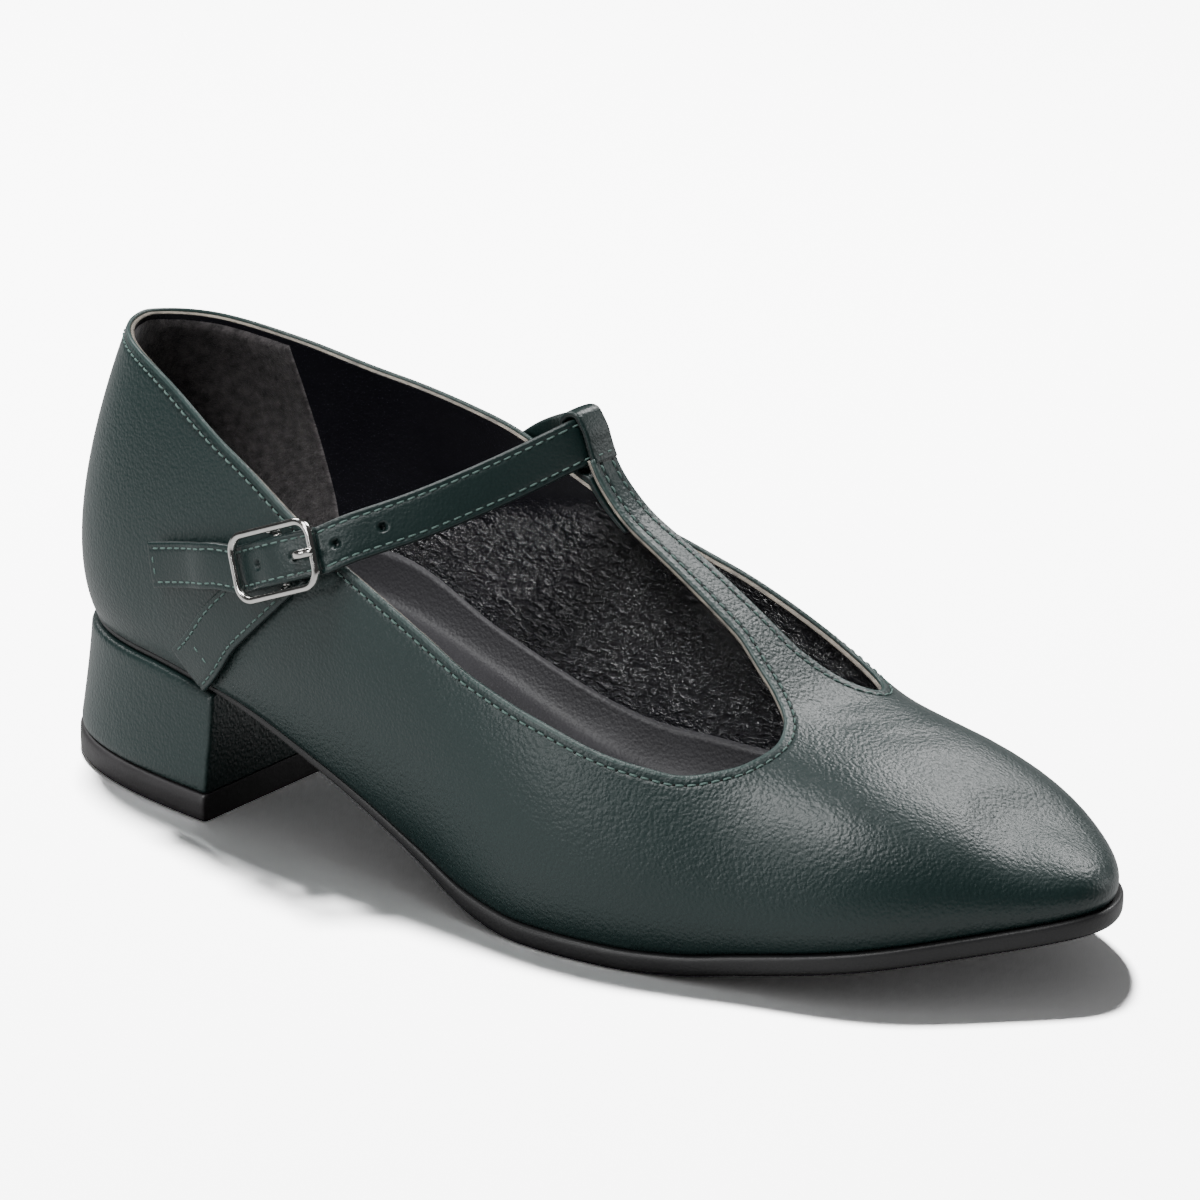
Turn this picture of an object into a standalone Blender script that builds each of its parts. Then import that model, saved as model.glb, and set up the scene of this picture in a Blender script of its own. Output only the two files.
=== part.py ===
"""A right mary jane pump with a bar to the ankle strap and a low block heel, EU size 38.

Metres. +X runs to the toe, +Y to the inner side of the foot, +Z up, and the floor is Z = 0.
Every piece is worked out from one last: a ring of stations round the feather line (where the
upper meets the sole) and a wall that rises from each of them to the spine of the last.
"""
import math

import bmesh
import bpy
import numpy as np
from mathutils import Matrix, geometry

# Driving dimensions
LENGTH = 0.2415          # feather line, heel to toe
BALL_WIDTH = 0.0757      # feather line across the ball of the foot
HEEL_RISE = 0.0308       # floor to the feather line at the back
TOE_SPRING = 0.0131      # how far the toe lifts above the ball
INSTEP = 0.0686          # sole to spine where the bar leaves the vamp
GAP = 0.0003             # between pieces that touch
WALL = 0.0018            # leather and lining together
MARGIN = 0.0085          # upper turned in under the insole
SOLE_GAUGE = 0.0041      # outsole at the forefoot
INSOLE_GAUGE = 0.0022
TIP_GAUGE = 0.0058       # heel tip
BREAST = 0.0512          # front face of the heel, from the back of the feather line
HEEL_SEAT = 0.0008       # how far the top of the heel block stands out of the feather line
HEEL_FLARE = 0.0034      # how far its foot does, and the tip
SOFTENED = 0.0005        # bevel round the heel pieces
NET = 0.0045             # size of the triangles on the upper
BAR_WIDTH = 0.0106       # at the bar's root
BAR_TAPER = 0.70         # share of that width left at the bar's end
BAR_REACH = 0.0232       # length of the bar behind the place where it begins to turn upright
LOOP_GAUGE = 0.0013
STRAP_WIDTH = 0.0095
STRAP_GAUGE = 0.0018
TAB_WIDTH = 0.0112
TAB_GAUGE = 0.0012
BUCKLE_LENGTH = 0.0214   # middle of the rear bar to middle of the front bar
BUCKLE_HEIGHT = 0.0126   # middle of the lower side to middle of the upper side
BUCKLE_CORNER = 0.0032   # radius of the frame's middle line at its corners
WIRE = 0.0021            # thickness of the buckle's wire
PRONG = 0.0015           # thickness of the prong's pin
BUCKLE_RISE = math.radians(23)

# The last: one row for each station from the heel (0) to the toe (12), the same on both sides.
# along and spine are shares of LENGTH, the widths and bellies are shares of BALL_WIDTH. The
# leans say how much of the half width the wall keeps near its top, and shoulder how high.
LAST = (
    # along, outer, inner, spine, belly_outer, belly_inner, lean_outer, lean_inner, shoulder
    (0.000, 0.000, 0.000, 0.104, 0.021, 0.021, 0.46, 0.46, 0.92),
    (0.037, 0.227, 0.219, 0.124, 0.048, 0.045, 0.50, 0.50, 0.92),
    (0.124, 0.354, 0.312, 0.174, 0.042, 0.048, 0.76, 0.76, 0.92),
    (0.232, 0.411, 0.296, 0.248, 0.041, 0.079, 0.86, 0.92, 0.92),
    (0.344, 0.456, 0.262, 0.348, 0.040, 0.112, 0.93, 1.05, 0.92),
    (0.455, 0.510, 0.251, 0.455, 0.040, 0.125, 0.95, 1.14, 0.92),
    (0.567, 0.587, 0.320, 0.567, 0.033, 0.112, 0.95, 1.15, 0.92),
    (0.671, 0.585, 0.413, 0.663, 0.033, 0.066, 0.95, 1.08, 0.92),
    (0.770, 0.513, 0.448, 0.745, 0.029, 0.033, 0.95, 0.95, 0.92),
    (0.861, 0.425, 0.420, 0.820, 0.026, 0.026, 0.95, 0.95, 0.90),
    (0.925, 0.285, 0.330, 0.874, 0.020, 0.017, 0.95, 0.95, 0.80),
    (0.975, 0.148, 0.189, 0.907, 0.011, 0.007, 0.95, 0.95, 0.68),
    (1.000, 0.000, 0.000, 0.915, 0.011, 0.011, 0.95, 0.95, 0.62),
)
RING = 24                # stations in the whole ring: 0 to 12 outer side, 12 to 24 inner side

# Side view of the sole: pitch is the share of the heel's rise, spring that of the toe's.
SOLE_LINE = (
    # along, pitch, spring
    (0.000, 1.000, 0.00),
    (0.124, 0.995, 0.00),
    (0.232, 0.880, 0.00),
    (0.344, 0.600, 0.00),
    (0.455, 0.246, 0.00),
    (0.520, 0.062, 0.00),
    (0.580, 0.000, 0.00),
    (0.665, 0.000, 0.00),
    (0.720, 0.000, 0.06),
    (0.770, 0.000, 0.21),
    (0.861, 0.000, 0.50),
    (0.925, 0.000, 0.73),
    (0.975, 0.000, 0.91),
    (1.000, 0.000, 1.00),
)

# Side view of the spine: height above the sole as a share of INSTEP, and how far the last
# swings to the inner side as a share of BALL_WIDTH.
SPINE = (
    # along, height, swing
    (0.000, 1.198, 0.000),
    (0.166, 1.240, 0.000),
    (0.331, 1.318, 0.000),
    (0.455, 1.182, 0.000),
    (0.567, 1.000, 0.006),
    (0.663, 0.790, 0.018),
    (0.745, 0.575, 0.026),
    (0.820, 0.452, 0.031),
    (0.874, 0.350, 0.040),
    (0.915, 0.250, 0.047),
    (1.000, 0.110, 0.063),
)

# Top edge of the quarters: share of the way up the wall at each station, on both sides.
COLLAR = (
    # station, outer, inner
    (0.0, 0.575, 0.575),
    (1.0, 0.568, 0.552),
    (2.0, 0.538, 0.512),
    (3.0, 0.464, 0.484),
    (4.0, 0.416, 0.495),
    (5.0, 0.442, 0.548),
    (6.0, 0.484, 0.640),
    (6.7, 0.505, 0.662),
)

# Rounded front of the opening on each side of the bar, up to the straight edge of the bar.
THROAT = (
    # station, outer, inner
    (7.14, 0.536, 0.664),
    (7.41, 0.567, 0.682),
    (7.66, 0.635, 0.717),
    (7.80, 0.690, 0.755),
    (7.91, 0.781, 0.812),
    (7.82, 0.862, 0.862),
    (7.60, 0.908, 0.906),
    (7.35, 0.931, 0.931),
)

BAR_ROOT = 7.1           # station where the bar's straight edges begin

# Outsole: gauge as a share of SOLE_GAUGE, and how far its edge stands out as a share of WALL.
SOLE_EDGE = (
    # along, gauge, stand
    (0.000, 0.32, -0.25),
    (0.200, 0.32, -0.25),
    (0.280, 0.44, -0.15),
    (0.430, 0.56, 0.20),
    (0.555, 1.00, 0.65),
    (1.000, 1.00, 0.80),
)

BAR_TURN_FROM = 0.567    # share of LENGTH where the bar begins to turn upright

# How steeply the turned part of the bar rises, in degrees, along its reach.
BAR_TURN = (
    # share of BAR_REACH, degrees
    (0.13, 38),
    (0.24, 43),
    (0.45, 50),
    (0.64, 62),
    (0.83, 68),
    (1.00, 69),
)

# Strap from its loose tail on the outer quarter to its sewn end on the inner quarter.
# On the quarters a row names a place on the last and the lift of the strap's under side.
TAIL = (
    # station, way up, lift as a share of WALL
    (2.34, 0.238, 0.28),
    (2.56, 0.2555, 0.28),
    (2.76, 0.2715, 0.50),
    (2.93, 0.2845, 1.00),
    (3.08, 0.2970, 1.20),
)
SEWN_END = (
    # station, way up, lift as a share of WALL
    (4.30, 0.490, 0.90),
    (4.05, 0.430, 0.30),
    (3.70, 0.362, 0.28),
    (3.30, 0.280, 0.28),
    (2.85, 0.175, 0.28),
    (2.45, 0.072, 0.28),
)
TAB = (
    # station, way up
    (2.63, 0.034),
    (2.82, 0.100),
    (3.03, 0.178),
    (3.23, 0.233),
    (3.42, 0.282),
)
BUCKLE_AT = (3.735, 0.368)    # station and way up of the buckle's centre

# Strap from the buckle to the bar, and from the bar to the inner quarter, each as shares of
# the straight way and of STRAP_GAUGE.
OUTER_SPAN = (
    # way along, bulge outwards, sag
    (0.14, 0.60, 0.10),
    (0.40, 0.70, 0.60),
    (0.70, 0.20, 0.50),
)
INNER_SPAN = (
    # way along, bulge outwards, sag
    (0.27, 0.62, 0.00),
    (0.55, 1.70, 0.00),
    (0.82, 1.40, 0.00),
)

# The bar's end folded back over the strap, in shares of LOOP_GAUGE: height past the strap's
# upper edge, and which way the leather faces (0 to the front, 90 up, 180 to the back).
FOLD_OVER = (
    # beyond, back as a share of the strap's gauge, facing
    (-0.90, -0.52, 0),
    (-0.40, -0.52, 4),
    (0.12, -0.38, 30),
    (0.38, 0.06, 68),
    (0.40, 0.52, 96),
    (0.12, 0.92, 138),
    (-0.35, 1.30, 176),
)
FOLD_UNDER = (
    # below the strap, back as a share of the strap's gauge, facing
    (-0.30, 1.30, 182),
    (0.10, 1.15, 203),
    (0.70, 0.60, 215),
    (1.35, 0.12, 202),
    (2.20, 0.00, 182),
)
LOOP_TAIL = (
    # share of the way up from where the bar turns, share of LOOP_GAUGE
    (0.60, 0.90),
    (0.35, 0.75),
    (0.12, 0.55),
)

# Strap inside the buckle: under the rear bar, over the centre bar, under the front bar.
BUCKLE_WAVE = (
    # reach as a share of half the buckle's length, rise from the lowest (0) to the highest (1)
    (-1.12, 0.00),
    (-0.96, 0.02),
    (-0.60, 0.48),
    (-0.18, 1.00),
    (0.18, 1.00),
    (0.60, 0.48),
    (0.96, 0.02),
    (1.12, 0.00),
)


def monotone(places, values):
    """Cubic curve through the points that never overshoots them; slope=True gives its slope."""
    places, values = np.asarray(places, float), np.asarray(values, float)
    step = np.diff(places)
    rise = np.diff(values) / step
    lean = np.zeros(len(places))
    lean[0], lean[-1] = rise[0], rise[-1]
    for i in range(1, len(places) - 1):
        if rise[i - 1] * rise[i] > 0:
            before, after = 2 * step[i] + step[i - 1], step[i] + 2 * step[i - 1]
            lean[i] = (before + after) / (before / rise[i - 1] + after / rise[i])

    def at(place, slope=False):
        place = np.asarray(place, float)
        inside = np.clip(place, places[0], places[-1])
        i = np.clip(np.searchsorted(places, inside) - 1, 0, len(step) - 1)
        u = (inside - places[i]) / step[i]
        tilt = ((6 * u**2 - 6 * u) * (values[i] - values[i + 1]) / step[i]
                + (3 * u**2 - 4 * u + 1) * lean[i] + (3 * u**2 - 2 * u) * lean[i + 1])
        if slope:
            return tilt
        value = ((2 * u**3 - 3 * u**2 + 1) * values[i] + (3 * u**2 - 2 * u**3) * values[i + 1]
                 + step[i] * ((u**3 - 2 * u**2 + u) * lean[i] + (u**3 - u**2) * lean[i + 1]))
        return value + tilt * (place - inside)

    return at


def round_ring(outer, inner):
    """Closed smooth curve over the ring of stations, from a column for each side."""
    values = np.concatenate([outer, inner[-2:0:-1]])
    count = len(values)
    system = 4 * np.eye(count) + np.roll(np.eye(count), 1, 1) + np.roll(np.eye(count), -1, 1)
    slopes = np.linalg.solve(system, 3 * (np.roll(values, -1) - np.roll(values, 1)))

    def at(station):
        station = np.mod(np.asarray(station, float), count)
        i = np.floor(station).astype(int) % count
        j = (i + 1) % count
        u = station - np.floor(station)
        return (values[i] * (2 * u**3 - 3 * u**2 + 1) + slopes[i] * (u**3 - 2 * u**2 + u)
                + values[j] * (3 * u**2 - 2 * u**3) + slopes[j] * (u**3 - u**2))

    return at


along, outer, inner, spine, belly_o, belly_i, lean_o, lean_i, shoulders = np.array(LAST).T
line_at, pitch, spring = np.array(SOLE_LINE).T
spine_at, spine_height, swing = np.array(SPINE).T
edge_at, edge_gauge, edge_stand = np.array(SOLE_EDGE).T

BALL_RISE = SOLE_GAUGE + GAP
pitch_of = monotone(line_at * LENGTH, pitch * (HEEL_RISE - BALL_RISE))
spring_of = monotone(line_at * LENGTH, spring * TOE_SPRING)
spine_over_sole = monotone(spine_at * LENGTH, spine_height * INSTEP)
middle_of = monotone(spine_at * LENGTH, swing * BALL_WIDTH)
gauge_of = monotone(edge_at * LENGTH, edge_gauge * SOLE_GAUGE)
stand_of = monotone(edge_at * LENGTH, edge_stand * WALL)


def sole_line(x):
    """Height of the feather line above the floor."""
    return BALL_RISE + pitch_of(x) + spring_of(x)


def spine_line(x):
    """Height of the spine of the last above the floor."""
    return sole_line(x) + spine_over_sole(x)


def spine_slope(x):
    return pitch_of(x, True) + spring_of(x, True) + spine_over_sole(x, True)


middles = middle_of(along * LENGTH)
feather_x = round_ring(along * LENGTH, along * LENGTH)
feather_y = round_ring(middles - outer * BALL_WIDTH, middles + inner * BALL_WIDTH)
spine_x = round_ring(spine * LENGTH, spine * LENGTH)
belly = round_ring(belly_o * BALL_WIDTH, belly_i * BALL_WIDTH)
lean = round_ring(lean_o, lean_i)
shoulder = round_ring(shoulders, shoulders)


def feather(station):
    """Points of the feather line."""
    x = feather_x(station)
    return np.stack([x, feather_y(station), sole_line(x)], -1)


def feather_outward(station):
    """Level unit vectors pointing out of the feather line."""
    step = 0.02
    run = feather(station + step) - feather(station - step)
    out = np.stack([run[..., 1], -run[..., 0], 0 * run[..., 0]], -1)
    return out / np.linalg.norm(out, axis=-1)[..., None]


def wall(station, way):
    """The upper's outer face: from the feather line (way 0) up to the spine (way 1)."""
    station, way = np.broadcast_arrays(np.asarray(station, float), np.asarray(way, float))
    low = feather(station)
    x = spine_x(station)
    top = np.stack([x, middle_of(x), spine_line(x)], -1)
    out = (low - top)[..., :2]
    reach = np.linalg.norm(out, axis=-1)
    out = out / reach[..., None]
    rise = top[..., 2] - low[..., 2]
    fall = spine_slope(x) * out[..., 0] * reach / 2
    reaches = (reach, reach + 1.6 * belly(station), reach + 1.8 * belly(station),
               reach * lean(station), reach / 2, 0 * reach)
    heights = (low[..., 2], low[..., 2] + 0.15 * rise, low[..., 2] + 0.45 * rise,
               low[..., 2] + shoulder(station) * rise, top[..., 2] + fall, top[..., 2])
    level, height = 0, 0
    for k in range(6):
        share = math.comb(5, k) * way**k * (1 - way)**(5 - k)
        level = level + reaches[k] * share
        height = height + heights[k] * share
    point = np.stack([x + out[..., 0] * level, top[..., 1] + out[..., 1] * level, height], -1)
    return turn_bar(point, way)


def turn_bar(point, way):
    """The bar's rear part turns upright to hold the ankle strap; the rest stays."""
    start = BAR_TURN_FROM * LENGTH
    stretch = math.hypot(1, spine_slope(start))
    behind = np.clip(start - point[..., 0], 0, None)
    drop = (point[..., 2] - spine_line(point[..., 0])) / stretch
    centre, up, out = bar_frame(behind * stretch)
    turned = centre + drop[..., None] * out
    turned[..., 1] += point[..., 1] - centre[..., 1]
    on_bar = (behind > 0) & (way > 0.8)
    return np.where(on_bar[..., None], turned, point)


def bar_frame(reach):
    """Centre, upward and outward directions of the bar's face, reach behind where it turns."""
    reach = np.asarray(reach, float)
    start = BAR_TURN_FROM * LENGTH
    shares, degrees = np.array(BAR_TURN).T
    first = math.degrees(math.atan(-float(spine_slope(start))))
    rise = monotone(np.r_[0, shares] * BAR_REACH, np.radians(np.r_[first, degrees]))
    steps = 32
    part = (np.arange(steps) + 0.5) / steps
    angles = rise(np.minimum(reach[..., None] * part, BAR_REACH))
    x = start - reach * np.cos(angles).mean(-1)
    z = float(spine_line(start)) + reach * np.sin(angles).mean(-1)
    angle = rise(np.minimum(reach, BAR_REACH))
    level = 0 * reach
    centre = np.stack([x, level + float(middle_of(start)), z], -1)
    up = np.stack([-np.cos(angle), level, np.sin(angle)], -1)
    out = np.stack([np.sin(angle), level, np.cos(angle)], -1)
    return centre, up, out


def outward(station, way):
    """Unit vectors pointing out of the wall."""
    step = 0.004
    run = wall(station + step, way) - wall(station - step, way)
    rise = wall(station, way + step) - wall(station, way - step)
    face = np.cross(run, rise)
    return face / np.linalg.norm(face, axis=-1)[..., None]


def on_wall(station, way, lift):
    """Point at a height above the wall, and the direction out of the wall there."""
    out = outward(station, way)
    return wall(station, way) + lift * out, out


def make_object(name, points, faces, colour, roughness, metallic=0.0, smooth=False):
    """A closed mesh with faces outwards, as a named object with its own material."""
    mesh = bpy.data.meshes.new(name)
    mesh.from_pydata([tuple(p) for p in points], [], faces)
    work = bmesh.new()
    work.from_mesh(mesh)
    bmesh.ops.recalc_face_normals(work, faces=work.faces)
    work.to_mesh(mesh)
    work.free()
    if smooth:
        mesh.shade_smooth()
    material = bpy.data.materials.new(name + "_finish")
    material.use_nodes = True
    shader = material.node_tree.nodes["Principled BSDF"]
    shader.inputs["Base Color"].default_value = (*colour, 1)
    shader.inputs["Roughness"].default_value = roughness
    shader.inputs["Metallic"].default_value = metallic
    mesh.materials.append(material)
    item = bpy.data.objects.new(name, mesh)
    bpy.context.scene.collection.objects.link(item)
    return item


GREEN = (0.030, 0.062, 0.055)
BLACK = (0.012, 0.012, 0.013)
DARK_GREY = (0.045, 0.042, 0.044)
SILVER = (0.62, 0.61, 0.59)


def opening_side(column):
    """Edge of the opening on one side: stations and ways up, from the heel to the bar."""
    collar = np.array(COLLAR)[:, [0, column]]
    throat = np.array(THROAT)[:, [0, column]]
    return smooth_path(np.vstack([collar, throat]), 60)


def smooth_path(points, count):
    """Centripetal curve through the points, sampled evenly along its length."""
    ends = np.vstack([2 * points[0] - points[1], points, 2 * points[-1] - points[-2]])
    curve = []
    for i in range(1, len(ends) - 2):
        before, start, stop, after = ends[i - 1:i + 3]
        u = np.linspace(0, 1, 12, endpoint=False)[:, None]
        curve.append(((2 * start) + (stop - before) * u
                      + (2 * before - 5 * start + 4 * stop - after) * u**2
                      + (3 * start - before - 3 * stop + after) * u**3) / 2)
    curve.append(points[-1:])
    return np.vstack(curve)[::max(1, 12 * (len(points) - 1) // (count * 2))]


def bar_way(station, side):
    """Way up the wall at which the bar's straight edge runs."""
    low, high = 0.80, 1.0
    x = spine_x(station)
    narrow = (spine_x(BAR_ROOT) - x) / (spine_x(BAR_ROOT) - bar_end_x())
    half = BAR_WIDTH * (1 - (1 - BAR_TAPER) * narrow) / 2
    for _ in range(24):
        middle = (low + high) / 2
        offset = abs(wall(side(station), middle)[1] - float(middle_of(x)))
        low, high = (middle, high) if offset > half else (low, middle)
    return (low + high) / 2


def bar_end_x():
    """Where the bar ends on the spine before it is turned upright."""
    start = BAR_TURN_FROM * LENGTH
    return start - BAR_REACH / math.hypot(1, spine_slope(start))


def opening_edge():
    """Both sides of the opening as (station, way up): heel to bar end, and bar end to heel."""
    bar_stations = np.linspace(BAR_ROOT, station_of(bar_end_x()), 12)
    sides = []
    for column, side in ((1, lambda s: s), (2, lambda s: RING - s)):
        bar = np.array([(s, bar_way(s, side)) for s in bar_stations])
        line = np.vstack([opening_side(column), bar, [(bar[-1, 0], 1.0)]])
        line[:, 0] = side(line[:, 0])
        sides.append(line)
    return sides[0], sides[1][::-1]


def station_of(x):
    """Station whose spine place is x."""
    stations = np.linspace(0, RING / 2, 1201)
    return float(np.interp(x, spine_x(stations), stations))


def flatten(places):
    """The wall laid out flat round the spine, for the triangulation."""
    station, way = np.asarray(places, float).T
    low = feather(station)[:, :2]
    x = spine_x(station)
    top = np.stack([x, middle_of(x)], -1)
    out = low - top
    out /= np.linalg.norm(out, axis=1)[:, None]
    ways = np.linspace(0, 1, 17)
    line = wall(station[:, None], ways[None, :])
    girth = np.linalg.norm(np.diff(line, axis=1), axis=2).sum(1)
    return top + out * (girth * (1 - way))[:, None]


def inside(points, outline):
    """Which points lie inside a closed outline."""
    a, b = outline, np.roll(outline, -1, axis=0)
    x, y = points[:, :1], points[:, 1:]
    crosses = (a[:, 1] > y) != (b[:, 1] > y)
    rise = np.where(b[:, 1] == a[:, 1], 1, b[:, 1] - a[:, 1])
    meets = a[:, 0] + (y - a[:, 1]) / rise * (b[:, 0] - a[:, 0])
    return (crosses & (x < meets)).sum(1) % 2 == 1


def space_places(line):
    """Places along one side of the opening, closer on the bar, without the last one."""
    flat = flatten(line)
    finer = np.where(line[1:, 1] > 0.9, 1.6, 1.0)
    steps = np.linalg.norm(np.diff(flat, axis=0), axis=1) * finer
    walked = np.concatenate([[0], np.cumsum(steps)])
    stops = np.linspace(0, walked[-1], int(walked[-1] / NET) + 2)[:-1]
    return np.stack([np.interp(stops, walked, line[:, 0]), np.interp(stops, walked, line[:, 1])], 1)


def upper_net(rim_count):
    """Places and triangles that cover the upper's face, with both of its edges first."""
    levels = 13
    rim = [(s, 0.0) for s in np.arange(rim_count) * RING / rim_count]
    outer_line, inner_line = opening_edge()
    edge = list(space_places(outer_line)) + list(space_places(inner_line))
    places = rim + edge
    flat = list(flatten(places))
    outline = np.array(flat[len(rim):])
    candidates = []
    for k in range(1, levels + 1):
        for s in np.arange(rim_count) * RING / rim_count:
            candidates.append((s + (k % 2) * RING / rim_count / 2, k * 0.99 / levels))
    spread = flatten(candidates)
    free = ~inside(spread, outline)
    for place, spot, ok in zip(candidates, spread, free):
        if ok and np.min(np.linalg.norm(np.array(flat) - spot, axis=1)) > 0.72 * NET:
            places.append(place)
            flat.append(spot)
    ring_edges = [(i, (i + 1) % len(rim)) for i in range(len(rim))]
    first = len(rim)
    ring_edges += [(first + i, first + (i + 1) % len(edge)) for i in range(len(edge))]
    result = geometry.delaunay_2d_cdt([tuple(p) for p in flat], ring_edges, [], 0, 1e-9)
    source = [names[0] for names in result[3]]
    faces = [tuple(source[i] for i in face) for face in result[2]]
    flat = np.array(flat)
    centres = np.array([flat[list(face)].mean(0) for face in faces])
    keep = inside(centres, flat[:len(rim)]) & ~inside(centres, outline)
    return np.array(places), [f for f, k in zip(faces, keep) if k], len(rim), len(edge)


def build_upper():
    """Vamp, bar and quarters in one shell, open at the foot and under the insole."""
    places, faces, rim, edge = upper_net(96)
    station, way = places.T
    out = outward(station, np.clip(way, 0.004, 0.996))
    face_points = wall(station, way)
    lining = face_points - WALL * out
    foot = feather(station[:rim])
    inward = -feather_outward(station[:rim])
    lining[:rim] = foot + WALL * inward + (0, 0, WALL)
    turned = foot + MARGIN * inward
    turned[:, 2] = sole_line(turned[:, 0])
    turned_top = turned + (0, 0, WALL)
    points = np.vstack([face_points, lining, turned_top, turned])
    count = len(places)
    solid = [tuple(f) for f in faces]
    solid += [tuple(i + count for i in reversed(f)) for f in faces]
    for i in range(edge):
        a, b = rim + i, rim + (i + 1) % edge
        solid.append((a, b, b + count, a + count))
    for i in range(rim):
        j = (i + 1) % rim
        rings = [base + i for base in (0, 2 * count + rim, 2 * count, count)]
        nexts = [base + j for base in (0, 2 * count + rim, 2 * count, count)]
        for k in range(3):
            solid.append((rings[k], nexts[k], nexts[k + 1], rings[k + 1]))
    return make_object("upper", points, solid, GREEN, 0.45)


def stack(name, rings, colour, roughness):
    """A solid from closed rings of the same count, with both ends closed across the foot."""
    count = len(rings[0])
    points = np.vstack(rings)
    faces = []
    for k in range(len(rings) - 1):
        for i in range(count):
            j = (i + 1) % count
            faces.append((k * count + i, k * count + j, (k + 1) * count + j, (k + 1) * count + i))
    for base in (0, (len(rings) - 1) * count):
        for i in range(count // 2):
            a, b = base + i, base + i + 1
            c, d = base + (count - i - 1) % count, base + (count - i) % count
            faces.append(tuple(dict.fromkeys((a, b, c, d))))
    return make_object(name, points, faces, colour, roughness)


def sole_ring(stations, stand, height):
    """A ring round the feather line, stood out by stand, at a height worked out from x."""
    ring = feather(stations) + feather_outward(stations) * np.asarray(stand)[..., None]
    ring[:, 2] = height(ring[:, 0])
    return ring


def build_outsole():
    """Full-length sole with the arch and toe spring; thin under the heel seat and the waist."""
    stations = np.arange(96) * RING / 96
    stand = stand_of(feather_x(stations))
    ease = SOLE_GAUGE * 0.12
    top = lambda x: sole_line(x) - GAP
    rings = [
        sole_ring(stations, stand - ease, top),
        sole_ring(stations, stand, lambda x: top(x) - 0.15 * gauge_of(x)),
        sole_ring(stations, stand, lambda x: top(x) - 0.80 * gauge_of(x)),
        sole_ring(stations, stand - 2 * ease, lambda x: top(x) - gauge_of(x)),
    ]
    return stack("outsole", rings, BLACK, 0.5)


def build_insole():
    """Sock and insole board, lying on the turned-in edge of the upper."""
    stations = np.arange(96) * RING / 96
    inset = np.full(96, -(WALL + 6 * GAP))
    bottom = lambda x: sole_line(x) + WALL + GAP
    rings = [
        sole_ring(stations, inset, bottom),
        sole_ring(stations, inset - GAP / 2, lambda x: bottom(x) + 0.8 * INSOLE_GAUGE),
        sole_ring(stations, inset - 2 * GAP, lambda x: bottom(x) + INSOLE_GAUGE),
    ]
    return stack("insole", rings, BLACK, 0.35)


def heel_ring(stand, height):
    """Outline of the heel from its breast round the back, at one height or one function."""
    reach = np.interp(BREAST, feather_x(np.linspace(0, 4, 400)), np.linspace(0, 4, 400))
    stations = np.linspace(-reach, reach, 39)
    ring = feather(stations) + feather_outward(stations) * stand
    ring[0, 0] = ring[-1, 0] = BREAST
    ring[:, 2] = height(ring[:, 0]) if callable(height) else height
    return ring


def heel_solid(name, rings, colour, roughness):
    """Heel pieces: rings from one breast corner round the back to the other."""
    count = len(rings[0])
    points = np.vstack(rings)
    faces = []
    for k in range(len(rings) - 1):
        for i in range(count):
            j = (i + 1) % count
            faces.append((k * count + i, k * count + j, (k + 1) * count + j, (k + 1) * count + i))
    for base in (0, (len(rings) - 1) * count):
        for i in range(count // 2):
            a, b, c, d = base + i, base + i + 1, base + count - 2 - i, base + count - 1 - i
            faces.append(tuple(dict.fromkeys((a, b, c, d))))
    return make_object(name, points, faces, colour, roughness)


def build_heel_block():
    """Block heel that follows the underside of the sole and spreads down to the tip."""
    seat = lambda x: sole_line(x) - 2 * GAP - gauge_of(x)
    foot = TIP_GAUGE + GAP
    rings = []
    for share in (0.0, 0.08, 0.3, 0.55, 0.8, 0.97, 1.0):
        stand = HEEL_SEAT + (HEEL_FLARE - HEEL_SEAT) * share**1.3
        stand -= SOFTENED * (share in (0.0, 1.0))
        rings.append(heel_ring(stand, lambda x, s=share: seat(x) * (1 - s) + foot * s))
    return heel_solid("heel_block", rings, GREEN, 0.45)


def build_heel_tip():
    """Flat-bottomed tip; its lower face is the plane on which the heel rests."""
    rings = [
        heel_ring(HEEL_FLARE, TIP_GAUGE),
        heel_ring(HEEL_FLARE + SOFTENED / 2, TIP_GAUGE - SOFTENED),
        heel_ring(HEEL_FLARE + SOFTENED / 2, SOFTENED),
        heel_ring(HEEL_FLARE, 0.0),
    ]
    return heel_solid("heel_tip", rings, DARK_GREY, 0.6)


def ribbon(name, centres, outs, width, gauge, colour, roughness):
    """A strip of leather: centres of its under side, its outward directions and its size."""
    centres, outs = np.asarray(centres, float), np.asarray(outs, float)
    runs = np.gradient(centres, axis=0)
    runs /= np.linalg.norm(runs, axis=1)[:, None]
    across = np.cross(outs, runs)
    across /= np.linalg.norm(across, axis=1)[:, None]
    outs = np.cross(runs, across)
    half = width / 2
    gauge = np.broadcast_to(gauge, len(centres))[:, None]
    ease = 0.25 * gauge
    corners = [
        centres - across * (half - ease),
        centres - across * half + outs * ease,
        centres - across * half + outs * (gauge - ease),
        centres - across * (half - ease) + outs * gauge,
        centres + across * (half - ease) + outs * gauge,
        centres + across * half + outs * (gauge - ease),
        centres + across * half + outs * ease,
        centres + across * (half - ease),
    ]
    return tube(name, np.stack(corners, 1), colour, roughness)


def tube(name, rings, colour, roughness, closed=False, metallic=0.0):
    """A solid through rings of points, closed on itself or capped at both ends."""
    count, sides = rings.shape[:2]
    faces = []
    for k in range(count if closed else count - 1):
        m = (k + 1) % count
        for i in range(sides):
            j = (i + 1) % sides
            faces.append((k * sides + i, k * sides + j, m * sides + j, m * sides + i))
    if not closed:
        faces.append(tuple(range(sides)))
        faces.append(tuple((count - 1) * sides + i for i in range(sides)))
    return make_object(name, rings.reshape(-1, 3), faces, colour, roughness, metallic)


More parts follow.
